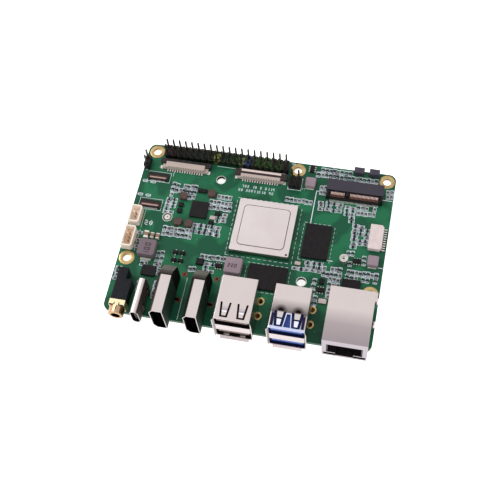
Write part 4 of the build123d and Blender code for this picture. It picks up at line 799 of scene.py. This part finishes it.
# The small headers: a square of four pins, and a pair
square_x, square_y = 57.9, -6.4
pair_x, pair_y = -2.25, -6.3
main_places = [(x, y) for x in columns for y in rows]
small_places = [(square_x + side, square_y + row) for side in rows for row in rows]
small_places += [(pair_x, pair_y + row) for row in rows]
for name, node, places in (("gpio_posts", "gpio_header_pins", main_places),
                           ("small_posts", "small_header_pins", small_places)):
    posts = join([post(x, y, pin_low, pin_high) for x, y in places], name)
    posts.data.materials.append(post_metal)
    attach(posts, "computer")
    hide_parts(node)

black_nylon = finish("black_nylon", "#151314", "#1e1b1c", 0.7, 0.4, specular=0.22, relief=0.2)
cell_nylon = bpy.data.materials.new("coloured_nylon_cells_with_painted_light")
tree = empty_tree(cell_nylon)
place = add_node(tree, "ShaderNodeTexCoord").outputs["Object"]
along = add_node(tree, "ShaderNodeSeparateXYZ", {0: place}).outputs["X"]
along = add_node(tree, "ShaderNodeMapRange", {0: along, 1: 3.6 * MM, 2: 54.4 * MM})
cells = add_node(tree, "ShaderNodeValToRGB", {0: along.outputs[0]})
cells.color_ramp.interpolation = "CONSTANT"
# The pale green cell, left of the blue one, is a painted highlight
cell_colours_and_highlight = (
    "#2a1716", "#241614", "#1d1814", "#1a1c16", "#182117", "#172517", "#1a2a1a", "#1d3312", "#97a04c",
    "#223c16", "#203a16", "#254619", "#64804c", "#3c4f8a", "#315e24", "#2b5214", "#35641f", "#2a5017",
    "#254217", "#151312")
stops = cells.color_ramp.elements
for number, code in enumerate(cell_colours_and_highlight):
    stop = stops[0] if number == 0 else stops.new(number / len(cell_colours_and_highlight))
    stop.color = colour(code)
stops.remove(stops[-1])
# The sides are painted darker than the tops: painted shade
normal = add_node(tree, "ShaderNodeNewGeometry").outputs["Normal"]
on_top = add_node(tree, "ShaderNodeSeparateXYZ", {0: normal}).outputs["Z"]
on_top = add_node(tree, "ShaderNodeMapRange", {0: on_top, 1: 0.3, 2: 0.8, 3: 0.25, 4: 1.0})
# Glints and shade among the pins' feet, about a millimetre across
mottle = add_node(tree, "ShaderNodeTexNoise", {"Vector": place, "Scale": 900.0, "Detail": 1.0})
mottle = add_node(tree, "ShaderNodeMapRange", {0: mottle.outputs[0], 1: 0.42, 2: 0.6})
seen = add_node(tree, "ShaderNodeMath", {0: on_top.outputs[0], 1: mottle.outputs[0]}, operation="MULTIPLY")
cells = add_node(tree, "ShaderNodeMix", {0: seen.outputs[0], 6: colour("#0e0c0c"), 7: cells.outputs[0]},
                 data_type="RGBA")
grain = add_node(tree, "ShaderNodeTexNoise", {"Vector": place, "Scale": 3000.0})
bump = add_node(tree, "ShaderNodeBump", {"Height": grain.outputs[0], "Strength": 0.2, "Distance": 0.00001})
shader = add_node(tree, "ShaderNodeBsdfPrincipled", {
    "Base Color": cells.outputs[2], "Roughness": 0.4, "Specular IOR Level": 0.25,
    "Normal": bump.outputs[0]})
add_node(tree, "ShaderNodeOutputMaterial", {"Surface": shader.outputs[0]})
small_cells = [(square_x + side, square_y) for side in rows] + [(pair_x, pair_y)]
for name, node, material, places in (
        ("gpio_strip", "gpio_header_base", cell_nylon, [(x, 0.0) for x in columns]),
        ("small_strips", "small_header_bases", black_nylon, small_cells)):
    strip_top = reach(node)[1].z
    strip = join([block("cell", x, y, pitch, 2 * pitch, board_top, strip_top, 0.5, segments=1)
                  for x, y in places], name)
    ease(strip, 0.08, segments=1)
    strip.data.materials.append(material)
    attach(strip, "computer")
    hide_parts(node)

# ---------------------------------------------------------------- ribbon sockets
# Liquid crystal polymer housings, beige or nearly black, with smoked nylon locks or black
# flaps, on rows of tinned tails at a fine pitch.
for number in (1, 2):
    rear = reach(f"display_socket_{number}")[1].y
    housing = LayeredFinish(f"beige_polymer_{number}", "#c9b9b1", "#b6a69e")
    # A pale line along the top's rear edge is a painted highlight
    housing.layer("#f1e2db", housing.face("z"), housing.ramp("y", rear - 0.5, rear - 0.4))
    housing.finish(0.45, f"display_socket_{number}", metallic=0.0, specular=0.3)
    # Between a camera socket's dark ends lie a pinkish rim and a brown bed
    low_corner, high_corner, middle = reach(f"camera_socket_{number}")
    front = low_corner.y
    housing = LayeredFinish(f"dark_polymer_{number}", "#1f1615", "#181213")
    between = housing.beside(middle.x, 3.4)
    housing.layer("#6b4336", housing.ramp("y", front + 1.3, front + 1.4), between)
    housing.layer("#b3948b", housing.ramp("y", front + 1.05, front + 0.95),
                  housing.ramp("y", front + 0.35, front + 0.45), between)
    housing.finish(0.4, f"camera_socket_{number}", metallic=0.0, specular=0.3)
flap_polymer = finish("black_polymer_flap", "#1a1314", "#120e0f", 0.7, 0.3)
dress(flap_polymer, "camera_socket_1_flap", "camera_socket_2_flap")
# Smoked nylon for the first lock; the same dark finish is painted shade in the sockets' slots, under their
# tails and in the audio socket's gaps
lock_nylon_and_shade = finish("smoked_nylon_and_painted_shade", "#2c2528", "#241e21", 0.7, 0.3)
dress(lock_nylon_and_shade, "display_socket_1_lock")
# The second lock's top is painted pale along its rear edge: a painted highlight on the rounded edge
low_corner, high_corner, middle = reach("display_socket_2_lock")
lock = LayeredFinish("nylon_with_painted_highlight", "#3a2c2c", "#2c2225")
lock.layer("#efdcd6", lock.face("z"), lock.ramp("y", high_corner.y - 1.1, high_corner.y - 1.0),
           lock.beside(middle.x, 8.0))
lock.finish(0.35, "display_socket_2_lock", metallic=0.0, specular=0.3)
tails, slot_and_shade_pieces = [], []
tail_top, shade_top = board_top + 0.15, board_top + 0.03
# Socket, number of tails, their pitch, width and length
for socket, count, pitch, width, length in (
        ("display_socket_1", 15, 1.0, 0.45, 0.95), ("display_socket_2", 15, 1.0, 0.45, 0.95),
        ("camera_socket_1", 12, 0.5, 0.22, 0.6), ("camera_socket_2", 12, 0.5, 0.22, 0.6)):
    low_corner, high_corner, middle = reach(socket)
    front, top = low_corner.y, high_corner.z
    # Each tail, with a dark block as painted shade in the contact's slot in the housing's top
    for number in range(count):
        x = middle.x + (number - (count - 1) / 2) * pitch
        tails.append(block("tail", x, front - length / 2, width, length, board_top, tail_top))
        slot_and_shade_pieces.append(block("slot", x + pitch / 2, front + 0.15, 0.45 * width, 0.4, top - 0.3, top + 0.01))
    # A dark bar under the tails is painted shade between them
    slot_and_shade_pieces.append(block("shade", middle.x, front - length / 2 + 0.1, count * pitch, length - 0.2,
                       board_top, shade_top))
    # Solder tabs at both ends of the large ones
    if pitch > 0.5:
        tails += [block("tab", x, front + 0.5, 1.1, 1.4, board_top, board_top + 0.4)
                  for x in (low_corner.x - 0.4, high_corner.x + 0.4)]
# The touch socket's tails point right, and the card socket's to the front at half a millimetre
low_corner, high_corner, middle = reach("touch_socket")
tails += [block("tail", high_corner.x + 0.75, middle.y + number - 4.5, 1.1, 0.42, board_top, tail_top)
          for number in range(10)]
# A dark bar under the touch socket's tails is painted shade between them
slot_and_shade_pieces.append(block("shade", high_corner.x + 0.7, middle.y, 1.0, 10.0, board_top, shade_top))
low_corner, high_corner, middle = reach("m2_socket")
tails += [block("tail", middle.x + (number - 18.5) * 0.5, low_corner.y - 0.5, 0.24, 0.9,
                board_top, board_top + 0.12) for number in range(38)]
ribbon_tails = join(tails, "ribbon_tails")
ease(ribbon_tails, 0.03, segments=1)
ribbon_tails.data.materials.append(pad_tin)
slots_and_painted_shade = join(slot_and_shade_pieces, "slots_and_painted_shade")
ease(slots_and_painted_shade, 0.02, segments=1)
slots_and_painted_shade.data.materials.append(lock_nylon_and_shade)
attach(slots_and_painted_shade, "computer")
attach(ribbon_tails, "computer")
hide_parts("ribbon_contacts")

# ---------------------------------------------------------------- card sockets
# Slate-coloured high-temperature nylon over a row of gilt spring contacts, above the
# board and again below it.
dress(finish("slate_nylon", "#403c48", "#37333e", 0.8, 0.4, specular=0.25), "m2_lower_socket")
low_corner, high_corner, middle = reach("m2_socket")
front = low_corner.y
housing = LayeredFinish("slate_nylon_in_shade", "#403c48", "#37333e")
for mask in (housing.ramp("y", front + 1.9, front + 1.7), housing.face("y")):
    housing.layer("#100c0e", mask)
housing.finish(0.4, "m2_socket", metallic=0.0, specular=0.25)
springs = []
for number in range(37):
    x = middle.x + (number - 18) * 0.5
    # The card's key takes the place of some
    if abs(x - middle.x + 2.8) > 0.9:
        springs += [block("spring", x, front + 0.95, 0.28, 1.8, board_top + 2.2, board_top + 2.34),
                    block("heel", x, front + 1.75, 0.34, 0.5, board_top + 2.3, board_top + 2.9)]
upper_springs = join(springs, "upper_springs")
ease(upper_springs, 0.05, segments=1)
# The lower socket is the upper one laid along Y and hung under the board
low_lower, high_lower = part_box("m2_lower_socket")
to_origin = Matrix.Translation((-middle.x * MM, -high_corner.y * MM, -board_top * MM))
turn = Matrix((
    (0, 1, 0, high_lower.x), (1, 0, 0, (low_lower.y + high_lower.y) / 2), (0, 0, -1, 0), (0, 0, 0, 1)))
lower_springs = copied(upper_springs, turn @ to_origin)
card_springs = join([upper_springs, lower_springs], "card_springs")
# The springs are painted dark brown at their fronts, as painted shade under the housing, and pale behind, as
# a painted highlight
gilt = LayeredFinish("gilt_springs", "#8d5a48", "#5e3a30")
gilt.layer("#fae3da", gilt.ramp("y", low_corner.y + 1.0, low_corner.y + 1.1))
gilt.finish(0.35, metallic=0.5)
card_springs.data.materials.append(gilt.material)
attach(card_springs, "computer")
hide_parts("m2_socket_contacts")

# ---------------------------------------------------------------- wire and touch sockets
# Natural nylon housings, cream-coloured, round tinned pins.  The floors of their
# cavities are painted in amber shade, and the inner sides of their mouths a little darker: painted shade.
for number, amber in ((1, "#f1e0d3"), (2, "#e3c8ad")):
    low_corner, high_corner, middle = reach(f"wire_socket_{number}")
    nylon = LayeredFinish(f"natural_nylon_{number}", "#f9eee2", "#efe0d2")
    nylon.layer(amber, nylon.face("z"), nylon.ramp("z", high_corner.z - 1.0, high_corner.z - 1.1))
    nylon.layer("#efdfd0", nylon.inward("x", middle.x))
    nylon.finish(0.45, f"wire_socket_{number}", metallic=0.0, specular=0.25)
dress(finish("white_nylon", "#e6d7d6", "#dccccc", 0.8, 0.45, specular=0.25), "touch_socket")

# ---------------------------------------------------------------- port shells
# Stamped steel strip with a bright satin nickel finish, folded round black or blue
# moulded inserts.

# Stacked USB shells: sprung fingers pressed out of the top plate.  On the blue stack the plate
# is painted darker towards the fingers' roots, a painted reflection of the dark beside the board.
for name, node in (("usb_strip", "usb2_shell"), ("blue_usb_strip_with_painted_light", "usb3_shell")):
    low_corner, high_corner, middle = reach(node)
    center, front = middle.x, low_corner.y + 0.7
    tip, root = front + 1.4, front + 6.6
    blue_stack = node == "usb3_shell"
    shadow, cut = ("#17163c", 0.55) if blue_stack else ("#271610", 0.42)
    strip = LayeredFinish(name, "#dbd0ce")
    plate = strip.ramp("z", high_corner.z - 0.34, high_corner.z - 0.32)
    top = strip.face("z")
    # Painted shade: the front faces, the sides and the leftward edges darker, and the walls of the cuts in
    # the plate near black
    strip.layer("#c2b7b8", strip.face("y"))
    strip.layer("#8d8886", strip.face("x"))
    strip.layer("#8d8583", strip.leftward())
    strip.layer("#150d0f", strip.face("y"), plate, strip.ramp("y", front + 0.5, front + 0.6))
    strip.layer("#150d0f", strip.face("x"), plate, strip.beside(center, 6.0))
    if blue_stack:
        # The plate painted darker behind the fingers' roots as a painted reflection, a pale painted highlight
        # across the roots, dark painted reflections beside the outer fingers and a pale painted highlight
        # along the front edge
        strip.layer("#554a4d", top, strip.ramp("y", root + 5.0, root + 0.2),
                    strip.ramp("y", root - 0.9, root - 0.1), 0.85)
        strip.layer("#e2e4fb", top, plate, strip.ramp("y", root, root - 0.6), strip.beside(center, 5.1))
        for side in (1, -1):
            strip.layer("#2c2640", top, plate, strip.ramp("y", root + 0.4, root - 1.0),
                        strip.ramp("y", front + 0.9, front + 1.0),
                        strip.ramp("x", center + side * 4.7, center + side * 5.0),
                        strip.beside(center, 6.2, 0.3))
        strip.layer("#cfd6f2", top, plate, strip.ramp("y", front + 0.95, front + 0.85))
    for finger_x in (center - 3.05, center + 3.05):
        finger = strip.beside(finger_x, 1.3)
        # On the blue stack: a dark painted reflection behind the finger's root, a dark painted crease line
        # and a bright painted highlight towards its tip
        if blue_stack:
            strip.layer("#1c1013", top, strip.near(finger_x, root + 0.5, 2.5, 0.7),
                        strip.ramp("y", root - 0.4, root))
            strip.layer("#d6ccc9", top, finger, strip.ramp("y", root + 0.3, root - 0.4),
                        strip.ramp("y", tip, tip + 0.1))
            strip.layer("#120c1c", top, finger, strip.ramp("y", tip + 3.0, tip + 2.9),
                        strip.ramp("y", tip + 2.2, tip + 2.4))
            strip.layer("#f1f2ff", top, finger, strip.ramp("y", tip + 2.4, tip + 2.3),
                        strip.ramp("y", tip, tip + 0.1))
        else:
            # On the black stack: painted purple shade on the finger and a bright painted highlight line
            # across it
            strip.layer("#b9aeb8", top, finger, strip.ramp("y", tip + 4.0, tip + 2.4),
                        strip.ramp("y", tip + 1.9, tip + 2.0))
            strip.layer("#ffffff", top, finger, strip.ramp("y", tip + 2.1, tip + 2.0),
                        strip.ramp("y", tip + 1.5, tip + 1.6))
        # Painted shadow in the cuts round each finger and in front of its tip
        strip.layer(shadow, top, plate, strip.slit(finger_x, tip, root, 1.075, 1.625, cut),
                    strip.ramp("y", root + 0.1, root), strip.ramp("y", tip - 0.5, tip - 0.4))
        strip.layer(shadow, top, plate, strip.beside(finger_x, 1.25),
                    strip.ramp("y", tip + 0.15, tip + 0.1), strip.ramp("y", tip - 0.55, tip - 0.5))
    strip.finish(0.22, node)

# Tall sockets: their sides carry a painted reflection of the dark between them, their fronts
# and the tall ones' leftward edges are painted darker, and their mouths are painted in shade.
# Finish, shell, half the width of the mouth's floor, tint of the sides
for name, node, half, side_tint in (
        ("tall_strip_1", "hdmi_1_shell", 2.58, "#31463a"), ("tall_strip_2", "hdmi_2_shell", 2.58, "#31463a"),
        ("slim_strip", "usb_c_shell", 1.6, "#5d544e")):
    low_corner, high_corner, middle = reach(node)
    tall = node != "usb_c_shell"
    strip = LayeredFinish(name, "#dbd0ce")
    sides = strip.face("x", 0.1, 0.3) if tall else strip.face("x", 0.6, 0.95)
    strip.layer(side_tint, strip.face("x") if tall else sides)
    if tall:
        strip.layer("#6f6765", strip.leftward())
    strip.layer("#b5aaaa", strip.face("y"))
    strip.layer("#060405", strip.inward("x", middle.x))
    strip.layer("#5a3820", strip.ramp("z", board_top + 0.7, board_top + 0.6),
                strip.beside(middle.x, half, -0.1))
    strip.layer("#060405", strip.face("z"), strip.ramp("z", high_corner.z - 0.4, high_corner.z - 0.5))
    strip.finish(0.2 if tall else 0.4, node, dull=sides)

# Network socket: its top is painted darker towards its front, and its front faces, sides
# and the inner sides of its mouth are painted darker: painted shade
low_corner, high_corner, middle = reach("network_jack_shell")
left, front, right = low_corner.x, low_corner.y, high_corner.x
strip = LayeredFinish("network_strip", "#dbd0ce")
strip.layer("#b3a7a9", strip.face("z"), strip.ramp("y", front + 13.0, front + 7.0))
strip.layer("#9d9298", strip.face("z"), strip.ramp("y", front + 7.5, front + 1.0), 0.7)
strip.layer("#a0979e", strip.face("y"))
strip.layer("#7d7b78", strip.face("x"))
strip.layer("#0c090a", strip.inward("x", middle.x))
strip.finish(0.24, "network_jack_shell")
# Dark slits under the ledges on both sides of the latch's notch
notch = middle.x - 0.35
mouth_slits = join([block("slit", (start + end) / 2, front, end - start, 0.04, 2.6, 4.2)
                    for start, end in ((left + 0.7, notch - 3.2), (notch + 3.2, right - 1.2))], "mouth_slits")
mouth_slits.data.materials.append(finish("unlit_gap", "#060405", "#030203", 0.7, 0.8, specular=0.0))
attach(mouth_slits, "computer")
# Springs that bulge from its right side
side_springs = join([block("spring", right, y, 0.9, 1.9, low, low + 2.2)
                     for y, low in ((front + 11.0, 8.0), (front + 18.6, 11.4))], "side_springs")
ease(side_springs, 0.4, segments=3)
side_springs.data.materials.append(nickel)
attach(side_springs, "computer")
bright_nickel = finish("bright_nickel_strip", "#dbd0ce", "#d5cac8", 4.0, 0.22, metallic=1.0, relief=0.05)
dress(bright_nickel, "microsd_socket_shell")

# Springs that stand up from the floor of the black stack's lower mouth
low_corner, high_corner, middle = reach("usb2_shell")
mouth_springs = join([block("spring", middle.x + side * 3.05, low_corner.y + 2.3, 2.2, 2.6,
                            board_top + 0.6, board_top + 1.5) for side in (-1, 1)], "mouth_springs")
ease(mouth_springs, 0.4, segments=3)
mouth_springs.data.materials.append(finish("shaded_nickel", "#8f8583", "#7a706e", 0.8, 0.4, metallic=0.6))
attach(mouth_springs, "computer")

# Moulded inserts: the hoods' grey is a painted reflection on dark gloss polymer, darkening to
# their front, with a greenish painted reflection on their sides and black painted shade at the
# mouth; the stacks' mouths are painted in shade, with painted light on their front edges.
for number in (1, 2):
    hood = LayeredFinish(f"hood_polymer_{number}", "#8d8b84", "#45423e")
    hood.layer("#18201b", hood.face("x"))
    hood.layer("#241d1b", hood.ramp("y", -56.5, -60.0))
    hood.layer("#070506", hood.ramp("y", -60.3, -60.5))
    hood.finish(0.4, f"hdmi_{number}_insert", metallic=0.0, specular=0.0)
dress(black_nylon, "usb_c_tongue", "network_jack_insert", "microsd_socket_base")
for name, node, body, shade, edge, tongue in (
        ("blue_polymer", "usb3_insert", "#3a539c", "#0c1036", "#7f97d8", "#5c78c2"),
        ("black_polymer", "usb2_insert", "#1c1417", "#080506", "#3b3238", "#8a7670")):
    low_corner, high_corner, middle = reach(node)
    front, top = low_corner.y, high_corner.z
    insert = LayeredFinish(name, body, body)
    # Painted shade on the mouths' floors, painted light along the upper front edges and on the tongues'
    # fronts
    insert.layer(shade, insert.face("z"), insert.ramp("y", front + 1.0, front + 0.8))
    insert.layer(edge, insert.face("z"), insert.ramp("y", front + 0.5, front + 0.4),
                 insert.ramp("z", top - 3.0, top - 2.0))
    insert.layer(tongue, insert.face("y"), insert.ramp("y", front + 0.3, front + 0.2))
    insert.finish(0.5, node, metallic=0.0, specular=0.15)
dress(gold, "usb_contacts", "network_jack_contacts")

# ---------------------------------------------------------------- audio socket
# A black moulded body behind a gold-plated collar and barrel, whose mouth, right side and
# front faces are painted darker as painted shade.  Dark slots part the collar's tongue from the barrel.
dress(finish("charcoal_polymer", "#1d1e25", "#17181d", 0.7, 0.45, specular=0.12), "audio_jack_body")
low_corner, high_corner, middle = reach("audio_jack_barrel")
front = low_corner.y
barrel = LayeredFinish("pale_gold_plating", "#b08d68", "#c3a586")
barrel.layer("#ead8b0", barrel.ramp("y", front + 2.9, front + 3.1))
barrel.layer("#5f4a2c", barrel.ramp("x", high_corner.x - 1.4, high_corner.x - 0.4),
             barrel.ramp("y", front + 3.1, front + 2.9))
barrel.layer("#150c07", barrel.inward("z", middle.z))
barrel.layer("#a98a62", barrel.face("y"), 0.5)
barrel.finish(0.33, "audio_jack_barrel", metallic=0.9)
# Dark pieces as painted shade in the slots between the collar's tongue and the barrel, and in the slit along
# the barrel's top
center, seam, collar_top = middle.x, front + 3.0, board_top + 5.6
low, high = collar_top - 0.5, collar_top + 0.01
jack_slots = join(
    [block("gap", center + side * 1.8, seam + 0.2, 2.0, 0.45, low, high) for side in (-1, 1)]
    + [block("notch", center + side * 0.9, seam + 0.65, 0.4, 1.1, low, high) for side in (-1, 1)]
    + [block("slit", center + 0.2, seam - 1.0, 0.3, 1.5, high_corner.z - 0.6, high_corner.z - 0.01)],
    "jack_slots")
ease(jack_slots, 0.03, segments=1)
jack_slots.data.materials.append(lock_nylon_and_shade)
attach(jack_slots, "computer")

# ---------------------------------------------------------------- side buttons
# Slate-coloured bodies at the board's rear edge, with black plungers that press in from it.
dress(finish("slate_frame", "#45404f", "#3b3744", 0.7, 0.4, specular=0.3), "button_bodies")
dress(black_nylon, "power_button_plunger", "reset_button_plunger")
